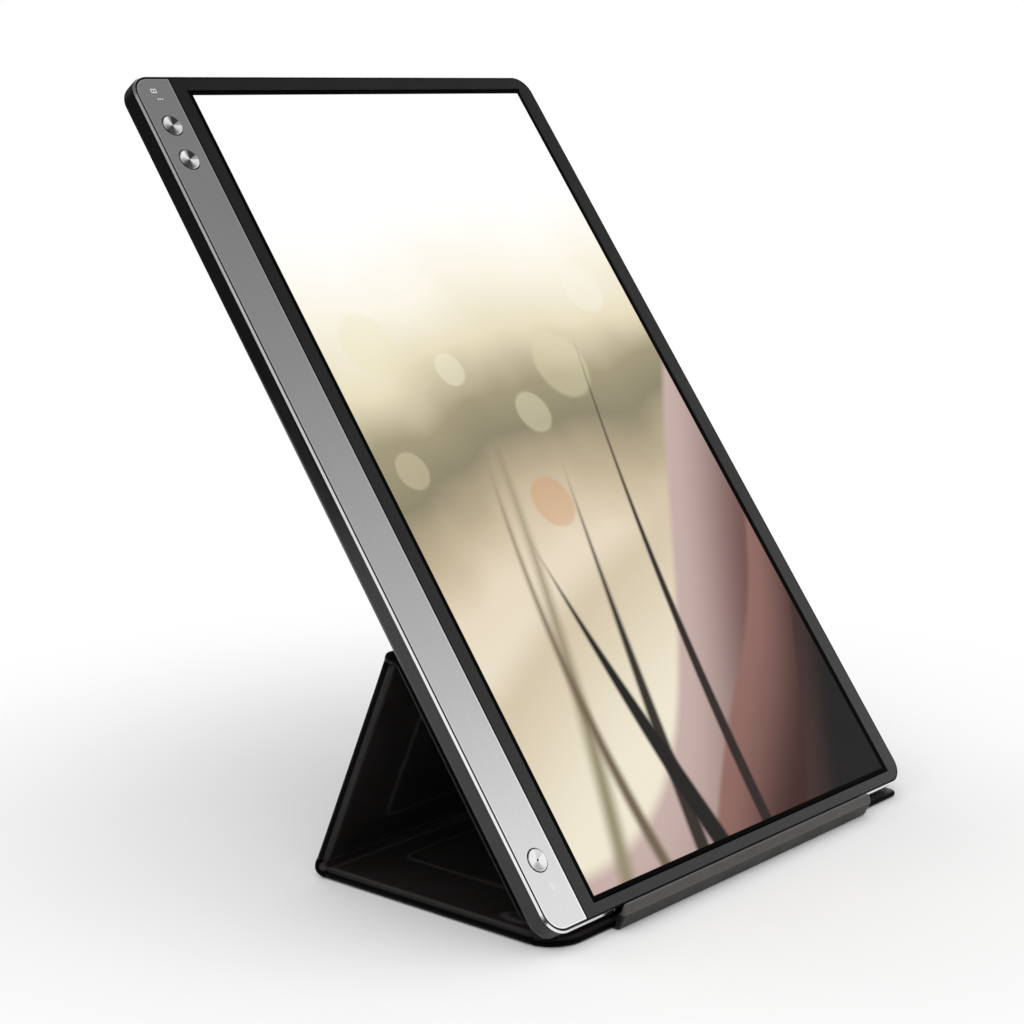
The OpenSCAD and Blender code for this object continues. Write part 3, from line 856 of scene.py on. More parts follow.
@dataclass(frozen=True)
class CutEdge(Blasted):
    """Chamfer cut bright through the black side of the trim ring."""

    side: Colour = (0.004, 0.004, 0.0044)
    seam_w: float = 0.24
    blur: float = 0.04
    # Place of the painted shade on the chamfer where it sits behind the lip.
    lip_half: float = 73.5
    lip_blur: float = 0.4
    lip_y: float = 1.5
    lip_fade: float = 0.3

    def surface(self, graph: Graph) -> None:
        """Sets the bright metal, and leaves the ring black at its side and its seam; behind the lip it paints
        the chamfer black with little gloss, as painted shade and a painted dark reflection of the lip.

        Args:
            graph: The material's nodes.
        """
        super().surface(graph)
        x, y, z = graph.monitor_place()
        # Painted shade and painted dark reflection where the chamfer sits behind the lip.
        lip_shade = graph.fall(graph.calc("ABSOLUTE", x), self.lip_half, self.lip_blur)
        lip_shade = graph.calc("MULTIPLY", lip_shade, graph.fall(y, self.lip_y, self.lip_fade))
        seam = graph.fall(graph.face_depth(x, y), STAND.trim_w - self.seam_w, self.blur)
        bright = graph.calc("MULTIPLY", graph.step(z, -STAND.chamfer, self.blur), seam)
        bright = graph.calc("MULTIPLY", bright, graph.calc("SUBTRACT", 1.0, lip_shade))
        graph.relink("Base Color", lambda metal: graph.mix(bright, self.side, metal))
        graph.relink("Metallic", lambda _: graph.calc("MULTIPLY", bright, self.metallic))
        graph.relink("Specular IOR Level", lambda _: graph.span(lip_shade, 0.0, 1.0, 0.5, 0.03))


@dataclass(frozen=True)
class StripMetal(Blasted):
    """Satin metal of the control strip, with the fine cut along its edges drawn as a painted highlight, and
    painted shade in its groove and on its sides.
    """

    # Painted highlight colour on the cut edges, and painted shade colour in the groove and below the face.
    cut: Colour = (0.95, 0.95, 0.96)
    below: Colour = (0.01, 0.01, 0.011)
    seam_w: float = 0.3
    seam_blur: float = 0.04
    cut_highlight_w: float = 0.66
    cut_highlight_blur: float = 0.05
    side_z: float = -0.21
    side_blur: float = 0.03

    def surface(self, graph: Graph) -> None:
        """Sets the metal, the painted highlight on the cut edges and the painted shade in the groove and on
        the sides below the face.

        Args:
            graph: The material's nodes.
        """
        super().surface(graph)
        x, y, z = graph.monitor_place()
        depth, rim = graph.face_depth(x, y), STAND.trim_w + STAND.groove
        # Painted highlight along both cut edges, and painted shade in the groove and on the sides below the
        # face.
        outer = graph.fall(depth, rim + self.cut_highlight_w, self.cut_highlight_blur)
        inner = graph.step(x, STAND.strip_right - self.cut_highlight_w, self.cut_highlight_blur)
        edge = graph.calc("MAXIMUM", outer, inner)
        seam = graph.step(depth, rim + self.seam_w, self.seam_blur)
        face = graph.calc("MULTIPLY", graph.step(z, self.side_z, self.side_blur), seam)
        graph.relink("Base Color", lambda metal: graph.mix(edge, metal, self.cut))
        graph.relink("Base Color", lambda metal: graph.mix(face, self.below, metal))
        graph.relink("Metallic", lambda _: graph.calc("MULTIPLY", face, self.metallic))


@dataclass(frozen=True)
class BezelPlastic(Finish):
    """Matte black plastic with painted shadow along its seams."""

    seam_w: float = 0.42
    seam_blur: float = 0.12
    # Colour of the painted shadow along the seams.
    seam_shadow_colour: Colour = (0.0008, 0.0008, 0.0008)

    def surface(self, graph: Graph) -> None:
        """Sets the plastic and the painted shadow along its seams at its outline and beside the strip.

        Args:
            graph: The material's nodes.
        """
        super().surface(graph)
        x, y, _ = graph.monitor_place()
        # Painted shadow along the outline seam and the seam beside the strip.
        outer = graph.fall(graph.face_depth(x, y), STAND.trim_w + self.seam_w, self.seam_blur)
        inner = graph.fall(x, STAND.strip_right + self.seam_w, self.seam_blur)
        seam = graph.calc("MAXIMUM", outer, inner)
        graph.relink("Base Color", lambda plastic: graph.mix(seam, plastic, self.seam_shadow_colour))
        graph.relink("Specular IOR Level", lambda _: graph.span(seam, 0.0, 1.0, self.specular, 0.06))


@dataclass(frozen=True)
class Spun(Finish):
    """Metal faced on a lathe: fine rings whose slopes throw fans of light, with the dark fans also painted
    darker as a painted reflection.
    """

    rings_per_mm: float = 9.0
    fan: float = 0.35
    lift: float = 0.2
    sink: float = 0.28
    # How much of the metal's colour stays in the dark fans, and the painted dark reflection colour that they
    # take.
    shade: float = 0.12
    bright_at: float = 144.0
    painted_dark_fan: Colour = (0.06, 0.06, 0.065)

    def surface(self, graph: Graph) -> None:
        """Sets the rings round the piece's own axis and the fans across them, with the dark fans painted
        darker in the base colour.

        Args:
            graph: The material's nodes.
        """
        apart = graph.add("ShaderNodeSeparateXYZ")
        graph.put(apart.inputs[0], graph.place)
        x, y = apart.outputs[0], apart.outputs[1]
        squares = (graph.calc("MULTIPLY", q, q) for q in (x, y))
        reach = graph.calc("SQRT", graph.calc("ADD", *squares))
        rings = graph.calc("SINE", graph.calc("MULTIPLY", reach, self.rings_per_mm * 2 * math.pi / MM))
        turn = graph.calc("ARCTAN2", y, x)
        around = graph.add("ShaderNodeCombineXYZ")
        graph.put(around.inputs[0], graph.calc("COSINE", turn))
        graph.put(around.inputs[1], graph.calc("SINE", turn))
        streaks = graph.noise(9.0, 5, 0.7, around.outputs[0])
        doubled = graph.calc("MULTIPLY", graph.calc("SUBTRACT", turn, math.radians(self.bright_at)), 2.0)
        ragged = graph.calc("SUBTRACT", streaks, 0.5)
        lobe = graph.calc("MULTIPLY_ADD", ragged, 1.5, graph.calc("COSINE", doubled))
        bright = graph.span(lobe, 0.05, 0.65, 0.0, 1.0)
        painted_dark = graph.span(graph.calc("MULTIPLY", lobe, -1.0), 0.15, 0.85, 0.0, 1.0)
        metal = self.tone(graph, streaks, 0.5 - self.fan / 2, 0.5 + self.fan / 2)
        slope = graph.calc("MULTIPLY_ADD", bright, -self.lift, graph.calc("MULTIPLY", painted_dark, self.sink))
        fine = graph.bump(rings, self.grain_strength, self.grain_depth)
        graph.set(
            # The dark fans are painted darker in the base colour, as a painted reflection.
            Base_Color=graph.mix(graph.calc("MULTIPLY", painted_dark, 1 - self.shade), metal, self.painted_dark_fan),
            Roughness=self.gloss(graph, streaks),
            Metallic=self.metallic,
            Normal=self.leaned(graph, slope, fine),
        )

    def leaned(self, graph: Graph, slope: Feed, normal: Socket) -> Socket:
        """Leans a normal along the piece's own y.

        Args:
            graph: The material's nodes.
            slope: How far to lean it, as a slope.
            normal: The normal to lean.

        Returns:
            The leaned normal.
        """
        own = graph.add("ShaderNodeCombineXYZ")
        graph.put(own.inputs[1], slope)
        turned = graph.add(
            "ShaderNodeVectorTransform", vector_type="VECTOR", convert_from="OBJECT", convert_to="WORLD"
        )
        graph.put(turned.inputs[0], own.outputs[0])
        total = graph.add("ShaderNodeVectorMath", operation="ADD")
        graph.put(total.inputs[0], normal)
        graph.put(total.inputs[1], turned.outputs[0])
        unit = graph.add("ShaderNodeVectorMath", operation="NORMALIZE")
        graph.put(unit.inputs[0], total.outputs[0])
        return unit.outputs[0]


@dataclass(frozen=True)
class CircuitBoard(Finish):
    """Solder mask with buried tracks and small pads."""

    track: Colour = (0.03, 0.24, 0.11)
    pad: Colour = (0.6, 0.55, 0.4)
    track_grain: float = 420.0
    pad_grain: float = 900.0

    def surface(self, graph: Graph) -> None:
        """Sets the tracks, the pads and the mask's gloss.

        Args:
            graph: The material's nodes.
        """
        tracks = graph.cells(self.track_grain, "DISTANCE_TO_EDGE")
        pads = graph.cells(self.pad_grain)
        mask = graph.mix(graph.span(tracks, 0.03, 0.06, 1.0, 0.0), self.colour, self.track)
        pad = graph.calc("MULTIPLY", graph.span(pads, 0.12, 0.16, 1.0, 0.0), 0.5)
        graph.set(
            Base_Color=graph.mix(pad, mask, self.pad),
            Roughness=graph.span(pads, 0.1, 0.6, self.roughness, self.roughness + self.uneven),
            Normal=graph.bump(tracks, self.grain_strength, self.grain_depth),
        )


@dataclass(frozen=True)
class Slope:
    """One dark slope of the picture: a curve that rises to the right, and what lies under it."""

    foot: float
    rise: float
    power: float
    wave: float
    turns: float
    shift: float
    blur: float
    fall: float
    deep: Colour
    crest: Colour


@dataclass(frozen=True)
class Blade:
    """One blade of grass: a bent line from its root, its width there and its blur."""

    root: float
    lean: float
    bend: float
    tip: float
    width: float
    blur: float
    tint: Colour


@dataclass(frozen=True)
class Glint:
    """One soft round glint: its place, size, strength and colour."""

    across: float
    up: float
    radius: float
    weight: float
    tint: Colour


@dataclass(frozen=True)
class LitScreen(Finish):
    """Lit display: a black border round a soft picture of haze, dark dunes and tall grass.

    Places in the picture are shares, across from its left and up from its bottom.
    """

    glow: float = 1.0
    dim: Colour = (0.0015, 0.0015, 0.0015)
    unlit: Colour = (0.004, 0.004, 0.004)
    border_blur: float = 0.08
    tip_fade: float = 0.12
    glint_edge: float = 0.82
    haze_tilt: float = -0.05
    haze_drift: float = 0.20
    slopes: tuple[Slope, ...] = (
        Slope(0.22, 0.30, 1.3, 0.030, 5.0, 0.4, 0.030, 0.20, (0.86, 0.79, 0.63), (0.66, 0.56, 0.40)),
        Slope(0.00, 0.56, 1.5, 0.026, 6.2, 2.2, 0.012, 0.24, (0.155, 0.072, 0.064), (0.56, 0.42, 0.385)),
        Slope(-0.12, 0.50, 1.6, 0.024, 7.4, 4.0, 0.007, 0.16, (0.045, 0.014, 0.012), (0.27, 0.135, 0.115)),
        Slope(-0.22, 0.44, 1.8, 0.018, 8.6, 5.3, 0.005, 0.10, (0.0035, 0.0022, 0.0022), (0.045, 0.02, 0.018)),
    )
    blades: tuple[Blade, ...] = (
        Blade(0.10, 0.62, -0.30, 0.60, 0.020, 0.020, (0.30, 0.26, 0.16)),
        Blade(0.22, -0.16, 0.62, 0.52, 0.015, 0.012, (0.16, 0.12, 0.07)),
        Blade(0.34, 0.30, 0.10, 0.50, 0.020, 0.008, (0.030, 0.022, 0.016)),
        Blade(0.40, -0.34, 0.20, 0.42, 0.026, 0.007, (0.010, 0.008, 0.007)),
        Blade(0.56, 0.10, 0.30, 0.66, 0.016, 0.006, (0.022, 0.013, 0.011)),
    )
    discs: tuple[Glint, ...] = (
        Glint(0.66, 0.60, 0.050, 0.34, (0.80, 0.74, 0.48)),
        Glint(0.50, 0.545, 0.030, 0.30, (0.92, 0.86, 0.60)),
        Glint(0.13, 0.66, 0.044, 0.30, (0.84, 0.78, 0.50)),
        Glint(0.32, 0.615, 0.024, 0.32, (1.0, 0.94, 0.74)),
        Glint(0.86, 0.70, 0.038, 0.26, (0.97, 0.95, 0.84)),
        Glint(0.42, 0.43, 0.036, 0.42, (0.62, 0.30, 0.13)),
        Glint(0.08, 0.50, 0.026, 0.30, (0.80, 0.72, 0.48)),
    )
    haze: tuple[tuple[float, Colour], ...] = (
        (0.0, (0.92, 0.88, 0.73)),
        (0.10, (0.89, 0.84, 0.69)),
        (0.22, (0.83, 0.75, 0.60)),
        (0.33, (0.80, 0.69, 0.53)),
        (0.41, (0.56, 0.46, 0.31)),
        (0.48, (0.27, 0.235, 0.15)),
        (0.54, (0.36, 0.315, 0.20)),
        (0.61, (0.80, 0.72, 0.51)),
        (0.70, (0.96, 0.92, 0.80)),
        (0.79, (1.0, 1.0, 0.98)),
        (0.84, (1.0, 1.0, 1.0)),
    )

    def sky(self, graph: Graph, u: Socket, v: Socket) -> Socket:
        """Makes the haze that the picture starts from, light above and warm below.

        Args:
            graph: The material's nodes.
            u: Place across the picture.
            v: Place up the picture.

        Returns:
            Colour of the haze.
        """
        lumps = graph.calc("SUBTRACT", graph.noise(11, 3, 0.45), 0.5)
        drift = graph.calc("MULTIPLY_ADD", lumps, self.haze_drift, v)
        return graph.ramp(graph.calc("MULTIPLY_ADD", u, self.haze_tilt, drift), self.haze)

    def glints(self, graph: Graph, u: Socket, v: Socket, colour: Socket) -> Socket:
        """Adds a few soft round glints to the haze.

        Args:
            graph: The material's nodes.
            u: Place across the picture.
            v: Place up the picture.
            colour: Colour of the picture so far.

        Returns:
            Colour of the picture with the glints.
        """
        for disc in self.discs:
            across = graph.calc("SUBTRACT", u, disc.across)
            across = graph.calc("MULTIPLY", across, STAND.picture_w / STAND.picture_l)
            squares = (graph.calc("MULTIPLY", q, q) for q in (across, graph.calc("SUBTRACT", v, disc.up)))
            far = graph.calc("SQRT", graph.calc("ADD", *squares))
            mask = graph.span(far, disc.radius * self.glint_edge, disc.radius, disc.weight, 0.0)
            colour = graph.mix(mask, colour, disc.tint)
        return colour

    def dunes(self, graph: Graph, u: Socket, v: Socket, colour: Socket) -> Socket:
        """Lays dark slopes over the lower right of the picture.

        Args:
            graph: The material's nodes.
            u: Place across the picture.
            v: Place up the picture.
            colour: Colour of the picture so far.

        Returns:
            Colour of the picture with the slopes.
        """
        for slope in self.slopes:
            wave = graph.calc("SINE", graph.calc("MULTIPLY_ADD", u, slope.turns, slope.shift))
            swell = graph.calc("MULTIPLY", wave, slope.wave)
            rise = graph.calc("MULTIPLY_ADD", graph.calc("POWER", u, slope.power), slope.rise, slope.foot)
            below = graph.calc("SUBTRACT", graph.calc("ADD", rise, swell), v)
            body = graph.mix(graph.span(below, 0.0, slope.fall, 0.0, 1.0), slope.crest, slope.deep)
            colour = graph.mix(graph.step(below, 0.0, slope.blur), colour, body)
        return colour

    def grass(self, graph: Graph, u: Socket, v: Socket, colour: Socket) -> Socket:
        """Draws a few tall blades, out of focus where they are far.

        Args:
            graph: The material's nodes.
            u: Place across the picture.
            v: Place up the picture.
            colour: Colour of the picture so far.

        Returns:
            Colour of the picture with the blades.
        """
        for blade in self.blades:
            lean = graph.calc("MULTIPLY_ADD", v, blade.bend, blade.lean)
            line = graph.calc("MULTIPLY_ADD", lean, v, blade.root)
            far = graph.calc("ABSOLUTE", graph.calc("SUBTRACT", u, line))
            half = graph.span(v, 0.0, blade.tip, blade.width, 0.0)
            inside = graph.step(graph.calc("SUBTRACT", half, far), 0.0, blade.blur)
            fade = graph.span(v, blade.tip - self.tip_fade, blade.tip, 1.0, 0.0)
            colour = graph.mix(graph.calc("MULTIPLY", inside, fade), colour, blade.tint)
        return colour

    def surface(self, graph: Graph) -> None:
        """Draws the picture inside its border and lights it.

        Args:
            graph: The material's nodes.
        """
        x, y, _ = graph.monitor_place()
        inner, shares, blur = 1.0, [], self.border_blur
        for place, low, size in (
            (x, STAND.picture_x, STAND.picture_w),
            (y, STAND.picture_y, STAND.picture_l),
        ):
            shares.append(graph.calc("DIVIDE", graph.calc("SUBTRACT", place, low), size, clamp=True))
            for side in (graph.step(place, low, blur), graph.fall(place, low + size, blur)):
                inner = graph.calc("MULTIPLY", inner, side)
        picture = self.sky(graph, *shares)
        for layer in (self.glints, self.dunes, self.grass):
            picture = layer(graph, *shares, picture)
        graph.set(
            Base_Color=graph.mix(inner, self.dim, self.unlit),
            Emission_Color=graph.mix(inner, (0.0, 0.0, 0.0), picture),
            Emission_Strength=self.glow,
            Roughness=graph.span(graph.noise(self.patch), 0.3, 0.7, 0.28, 0.34),
            Specular_IOR_Level=graph.span(inner, 0.0, 1.0, 0.015, 0.1),
            Normal=graph.bump(graph.noise(self.grain), 0.05, 0.005),
        )


class Look(Enum):
    """Finish of each kind of surface on the object."""

    HOUSING = Finish("satin_black_housing", (0.0030, 0.0031, 0.0033), (0.0052, 0.0053, 0.0056), 0.22, 0.03,
                     specular=0.58, patch=45, grain=5200, grain_strength=0.25, grain_depth=0.02)
    TRIM = CutEdge("cut_bright_edge", (0.84, 0.85, 0.86), (0.91, 0.915, 0.92), 0.18, 0.04, 1.0,
                   grain=3000, grain_strength=0.1, grain_depth=0.01)
    BEZEL = BezelPlastic("matte_black_bezel", (0.0034, 0.0028, 0.0025), (0.0056, 0.0048, 0.0044), 0.22, 0.03,
                         specular=0.47, patch=40, grain=6500, grain_strength=0.25, grain_depth=0.02)
    STRIP = StripMetal("satin_aluminium", (0.72, 0.72, 0.724), (0.78, 0.78, 0.784), 0.18, 0.015, 1.0,
                       patch=18, grain=5200, grain_strength=0.1, grain_depth=0.01)
    SPUN = Spun("spun_aluminium", (0.9, 0.9, 0.905), (0.98, 0.98, 0.985), 0.2, 0.04, 1.0,
                grain_strength=0.2, grain_depth=0.005)
    SPUN_BRIGHT = Spun("bright_spun_aluminium", (0.80, 0.80, 0.81), (0.97, 0.97, 0.98), 0.2, 0.04, 1.0,
                       grain_strength=0.2, grain_depth=0.005, lift=0.05, sink=0.03, shade=0.8)
    SCREEN = LitScreen("lit_screen", (0.02, 0.02, 0.02), (0.02, 0.02, 0.02))
    LEATHER = Leather("grained_black_leather", (0.0078, 0.0068, 0.0064), (0.0142, 0.0126, 0.012), 0.38, 0.06,
                      specular=0.42, patch=55, grain_strength=0.34, sheen=0.06)
    LINING = Leather("matte_black_lining", (0.0084, 0.0074, 0.0070), (0.0152, 0.0134, 0.013), 0.42, 0.06,
                     specular=0.4, patch=70, grain_strength=0.3, pebble=2100, pebble_depth=0.03, sheen=0.03)
    LIP = LipLeather("grained_lip_leather", (0.049, 0.0438, 0.0418), (0.077, 0.070, 0.067), 0.5, 0.06,
                     specular=0.5, patch=60, grain_strength=0.35, pebble=1700, pebble_depth=0.03)
    FOAM = Finish("black_foam", (0.008, 0.008, 0.008), (0.016, 0.016, 0.016), 0.9, 0.05,
                  grain=3000, grain_strength=0.7, grain_depth=0.1)
    FILM = Finish("white_film", (0.80, 0.80, 0.79), (0.88, 0.88, 0.87), 0.4, 0.08, grain=4000)
    ACRYLIC = Finish("clear_moulded_sheet", (0.62, 0.74, 0.76), (0.70, 0.80, 0.82), 0.12, 0.05, grain=900,
                     grain_strength=0.12)
    PHOSPHOR = Finish("phosphor_strip", (0.78, 0.62, 0.22), (0.86, 0.74, 0.34), 0.5, 0.06, grain=900)
    STEEL = Blasted("pressed_steel", (0.42, 0.43, 0.44), (0.54, 0.55, 0.56), 0.32, 0.06, 1.0,
                    grain=2600, grain_strength=0.2, grain_depth=0.015)
    NICKEL = Blasted("nickel_plate", (0.50, 0.49, 0.47), (0.62, 0.61, 0.58), 0.2, 0.05, 1.0,
                     grain=2200, grain_strength=0.12, grain_depth=0.01)
    AMBER = Finish("amber_flex", (0.30, 0.13, 0.03), (0.42, 0.20, 0.05), 0.3, 0.05, patch=120, grain=900)
    BOARD = CircuitBoard("green_circuit_board", (0.008, 0.10, 0.045), (0.02, 0.16, 0.08), 0.28, 0.15,
                         grain_depth=0.03)
    EPOXY = Finish("moulded_epoxy", (0.014, 0.014, 0.015), (0.028, 0.028, 0.03), 0.55, 0.08, grain=3600)
    GREYBOARD = Finish("pressed_greyboard", (0.20, 0.185, 0.165), (0.32, 0.30, 0.275), 0.85, 0.05,
                       patch=300, grain=1500, grain_strength=0.5, grain_depth=0.08)
    MARK = Finish("printed_mark", (0.86, 0.86, 0.86), (0.93, 0.93, 0.93), 0.5, 0.04, grain=3000)


class Paintbox:
    """Makes each finish once and dresses pieces with it."""

    def __init__(self) -> None:
        """Starts with no material made."""
        self.made: dict[Look, bpy.types.Material] = {}

    def of(self, look: Look) -> bpy.types.Material:
        """Finds the material of a finish.

        Args:
            look: The finish.

        Returns:
            Its material, made when it is first asked for.
        """
        if look not in self.made:
            self.made[look] = look.value.build()
        return self.made[look]

    def dress(self, piece: bpy.types.Object, look: Look) -> None:
        """Gives a piece one finish."""
        piece.data.materials.clear()
        piece.data.materials.append(self.of(look))


# ---------------------------------------------------------------- pieces


def mount(
    piece: bpy.types.Object, body: Body, look: Look, paints: Paintbox, nodes: Sequence[str] = ()
) -> bpy.types.Object:
    """Dresses a new piece, sets what it rides on and hides the nodes that it stands for.

    Args:
        piece: The new piece.
        body: Body that it rides on.
        look: Its finish.
        paints: The finishes.
        nodes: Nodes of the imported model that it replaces.

    Returns:
        The piece.
    """
    paints.dress(piece, look)
    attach(piece, body.value)
    finish_piece(piece, nodes)
    return piece


def finish_piece(piece: bpy.types.Object, nodes: Sequence[str]) -> None:
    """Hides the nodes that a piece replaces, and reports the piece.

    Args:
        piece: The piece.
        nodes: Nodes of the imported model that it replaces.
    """
    if nodes:
        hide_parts(*nodes)
    LOG.info("%s: %d faces", piece.name, len(piece.data.polygons))


@dataclass(frozen=True)
class LeafPlan:
    """Outline and thickness of one leaf of the cover.

    A leaf with free corners ends at its own edge, and one without runs into folds at both ends.
    """

    length: float
    near_r: float = 0.0
    far_r: float = 0.0
    pocket_end: float = 0.0
    thin_from: float | None = None
    thin_t: float = STAND.leaf_t
    thin_run: float = 1.8

    def half_width(self, y: np.ndarray, radius: float) -> np.ndarray:
        """Measures half of the width on one side.

        Args:
            y: Places along the leaf.
            radius: Radius of that side's free corner.

        Returns:
            Half of the width at each place.
        """
        half = STAND.cover_w / 2
        if not radius:
            return np.full_like(y, half)
        into = np.clip(y - (self.length - radius), 0, radius)
        return half - radius + np.sqrt(np.maximum(0, radius**2 - into**2))

    def depth(self, x: np.ndarray, y: np.ndarray) -> np.ndarray:
        """Measures how far in from the free edges each point is.

        Args:
            x: Places across.
            y: Places along.

        Returns:
            The distances.
        """
        half = STAND.cover_w / 2
        if not self.near_r:
            return half - np.abs(x)
        start = -3 * self.length
        near, far = (box_distance(x, y, start, self.length, half, r) for r in (self.near_r, self.far_r))
        return np.where(x < 0, near, far)

    def thickness(self, y: np.ndarray) -> np.ndarray:
        """Measures the thickness.

        Args:
            y: Places along the leaf.

        Returns:
            The thickness at each place.
        """
        if self.thin_from is None:
            return np.full_like(y, STAND.leaf_t)
        drop = smooth(self.thin_from - self.thin_run - 0.1, self.thin_from - 0.1, y)
        return STAND.leaf_t - (STAND.leaf_t - self.thin_t) * drop


@dataclass(frozen=True)
class MagnetPad:
    """A pair of magnets that press through the lining, one on each side of the leaf."""

    x: float
    y: float
    half_w: float
    half_l: float

    def reaches(self, x: np.ndarray, y: np.ndarray) -> list[np.ndarray]:
        """Distance of each point from the middle of either pad, 1 at the pad's outline."""
        return [np.hypot((x - side * self.x) / self.half_w, (y - self.y) / self.half_l) for side in (-1, 1)]


@dataclass
class Leaf:
    """One padded leaf: a leather skin with rolled edges and a turned-in rim, and its lining."""

    name: str
    body: Body
    plan: LeafPlan
    place: Matrix
    seed: float
    paints: Paintbox
    swell: float = 0.0
    swell_run: float = 12.0
    # Place and width of the painted highlight along the skin's rolled edge.
    painted_highlight: tuple[float, float] = (2.3, 1.1)
    pads: tuple[MagnetPad, ...] = ()
    board_in: float = 26.0
    board_end: float = 9.0
    board_h: float = 0.3
    board_line_h: float = 0.34
    pad_h: float = 0.95
    pad_dent: float = 0.2
    bead_in: float = 2.0
    bead_h: float = 0.22
    stitch_in: float = 4.6
    stitch_h: float = 0.16
    pocket_depth: float = 0.62
    lining_t: float = 0.6
    lining_edge: float = 0.1
    clearance: float = 0.02

    def grid(self, inset: float, start: float, end: float, edge: float) -> tuple[np.ndarray, np.ndarray]:
        """Makes a point grid over the leaf, close together at its edges and details.

        Args:
            inset: Distance of the grid's sides from the leaf's.
            start: First place along the leaf.
            end: Last place along the leaf.
            edge: Radius of the rounded edge.

        Returns:
            The x and y of each point, in rows along the leaf.
        """
        rim, field = STAND.rim_w - inset, self.board_in - inset
        fine = ((2.4 - inset, 1.6, 0.4), (rim, 0.9, 0.2), (field, 3.6, 0.6), (10.5 - inset, 6, 0.7))
        shares = shares_across(STAND.cover_w / 2 - inset, edge, fine)
        length = end - start
        along = stations(length, 2.2, self.fine_rows(start, length))
        if self.plan.near_r or inset:
            along = np.concatenate([along[along < length - edge], length - np.array(edge_steps(edge))[::-1]])
        if inset:
            along = np.concatenate([edge_steps(edge), along[along > edge * 1.01]])
        y = start + along
        near, far = (
            self.plan.half_width(y, radius)[:, None] - inset for radius in (self.plan.near_r, self.plan.far_r)
        )
        x = np.where(shares[None, :] < 0, shares[None, :] * near, shares[None, :] * far)
        return x, np.repeat(y[:, None], len(shares), 1)

    def fine_rows(self, start: float, length: float) -> list[Detail]:
        """Lists the places along the leaf that have detail.

        Args:
            start: First place of the grid.
            length: Length of the grid.

        Returns:
            Centre, half width and spacing of each place.
        """
        ends = (STAND.fold_land, self.plan.pocket_end)
        rows = [(ends[0], 0.9, 0.22), (ends[1], 1.0, 0.22)]
        rows += [(ends[0] + self.board_end, 3.6, 0.6), (ends[1] - self.board_end, 3.6, 0.6)]
        if self.plan.near_r:
            rows.append((self.plan.length - 3.2, 3.2, 0.45))
        if self.plan.thin_from is not None:
            rows.append((self.plan.thin_from - 1, 1.6, 0.25))
        rows += [(pad.y, pad.half_l * 1.3, 0.9) for pad in self.pads]
        return [(at - start, half, step) for at, half, step in rows if 0 < at - start < length]

    def board_depth(self, x: np.ndarray, y: np.ndarray) -> np.ndarray:
        """Distance in from the outline of the stiffener that shows through the lining."""
        low, high = STAND.fold_land + self.board_end, self.plan.pocket_end - self.board_end
        return box_distance(x, y, low, high, STAND.cover_w / 2 - self.board_in, 4)

    def raised(self, x: np.ndarray, y: np.ndarray) -> np.ndarray:
        """Works out how the stiffener and any pads press through the inner face.

        Args:
            x: Places across.
            y: Places along.

        Returns:
            The height at each place.
        """
        inside = self.board_depth(x, y)
        lift = self.board_h * smooth(-1.6, 1.4, inside) + self.board_line_h * ridge_line(inside - 0.2, 1.3)
        for pad in self.pads:
            for far in pad.reaches(x, y):
                dent = self.pad_dent * ridge_line((far - 1.12) * pad.half_w, 0.5)
                lift = lift + self.pad_h * (1 - smooth(0.45, 1.0, far)) - dent
        return lift

    def board_and_pad_highlights(self, x: np.ndarray, y: np.ndarray) -> np.ndarray:
        """Works out the lining's painted highlights along the stiffener's outline and round the pads that
        press through it.

        Args:
            x: Places across.
            y: Places along.

        Returns:
            The painted light at each place.
        """
        painted_light = 0.5 * ridge_line(self.board_depth(x, y) - 0.2, 0.9)
        for pad in self.pads:
            for far in pad.reaches(x, y):
                painted_light = painted_light + 0.5 * ridge_line((far - 0.8) * pad.half_w, 1.1)
        return painted_light

    def swelling(self, y: np.ndarray) -> np.ndarray:
        """How far the outer face stands off near the folds, where the leather runs into their bulge."""
        last = smooth(self.plan.length - self.swell_run, self.plan.length, y)
        return self.swell * (1 - smooth(0, self.swell_run, y)) + self.swell * last

    def skin(self) -> bpy.types.Object:
        """Builds the leather skin with its rim, pocket and rolled edges.

        Returns:
            The skin.
        """
        plan = self.plan
        x, y = self.grid(0, 0, plan.length, STAND.leaf_t / 2)
        depth, half = plan.depth(x, y), plan.thickness(y) / 2
        round_off = rolled(depth, half)
        deep = smooth(0.6, 3.0, depth)
        pocket_half = STAND.cover_w / 2 - STAND.rim_w
        pocket = box_distance(x, y, STAND.fold_land, plan.pocket_end, pocket_half, 0.5)
        uneven = wander(x, y, 14, self.seed) * 0.05 + wander(x, y, 4.5, self.seed + 7) * 0.025
        bead = self.bead_h * ridge_line(depth - self.bead_in, 1.1) * smooth(0.2, 1.2, depth)
        upper = half + round_off + deep * uneven + bead
        upper = upper - self.pocket_depth * smooth(-0.05, 0.2, pocket)
        press = self.stitch_h * ridge_line(depth - self.stitch_in, 0.6) - 0.05 * smooth(5, 12, depth)
        calm = 1 if plan.thin_from is None else 0.2
        lower = half - round_off + deep * np.maximum(press - uneven * 0.6, 0) * calm
        lower = lower - smooth(0, 1.8, depth) * self.swelling(y)
        points = [np.stack([x, y, z], -1) for z in (upper, lower)]
        # Painted highlight on the upper face's edge shoulder with painted shade at its side; painted shade
        # over the lower face, deepest at its edge.
        painted_light = (edge_light_and_shade(depth, *self.painted_highlight), -0.4 - 0.5 * (1 - smooth(0.3, 3.0, depth)))
        return make_object(self.name + "_cover_skin", closed_sheet(*points, self.place, painted_light))

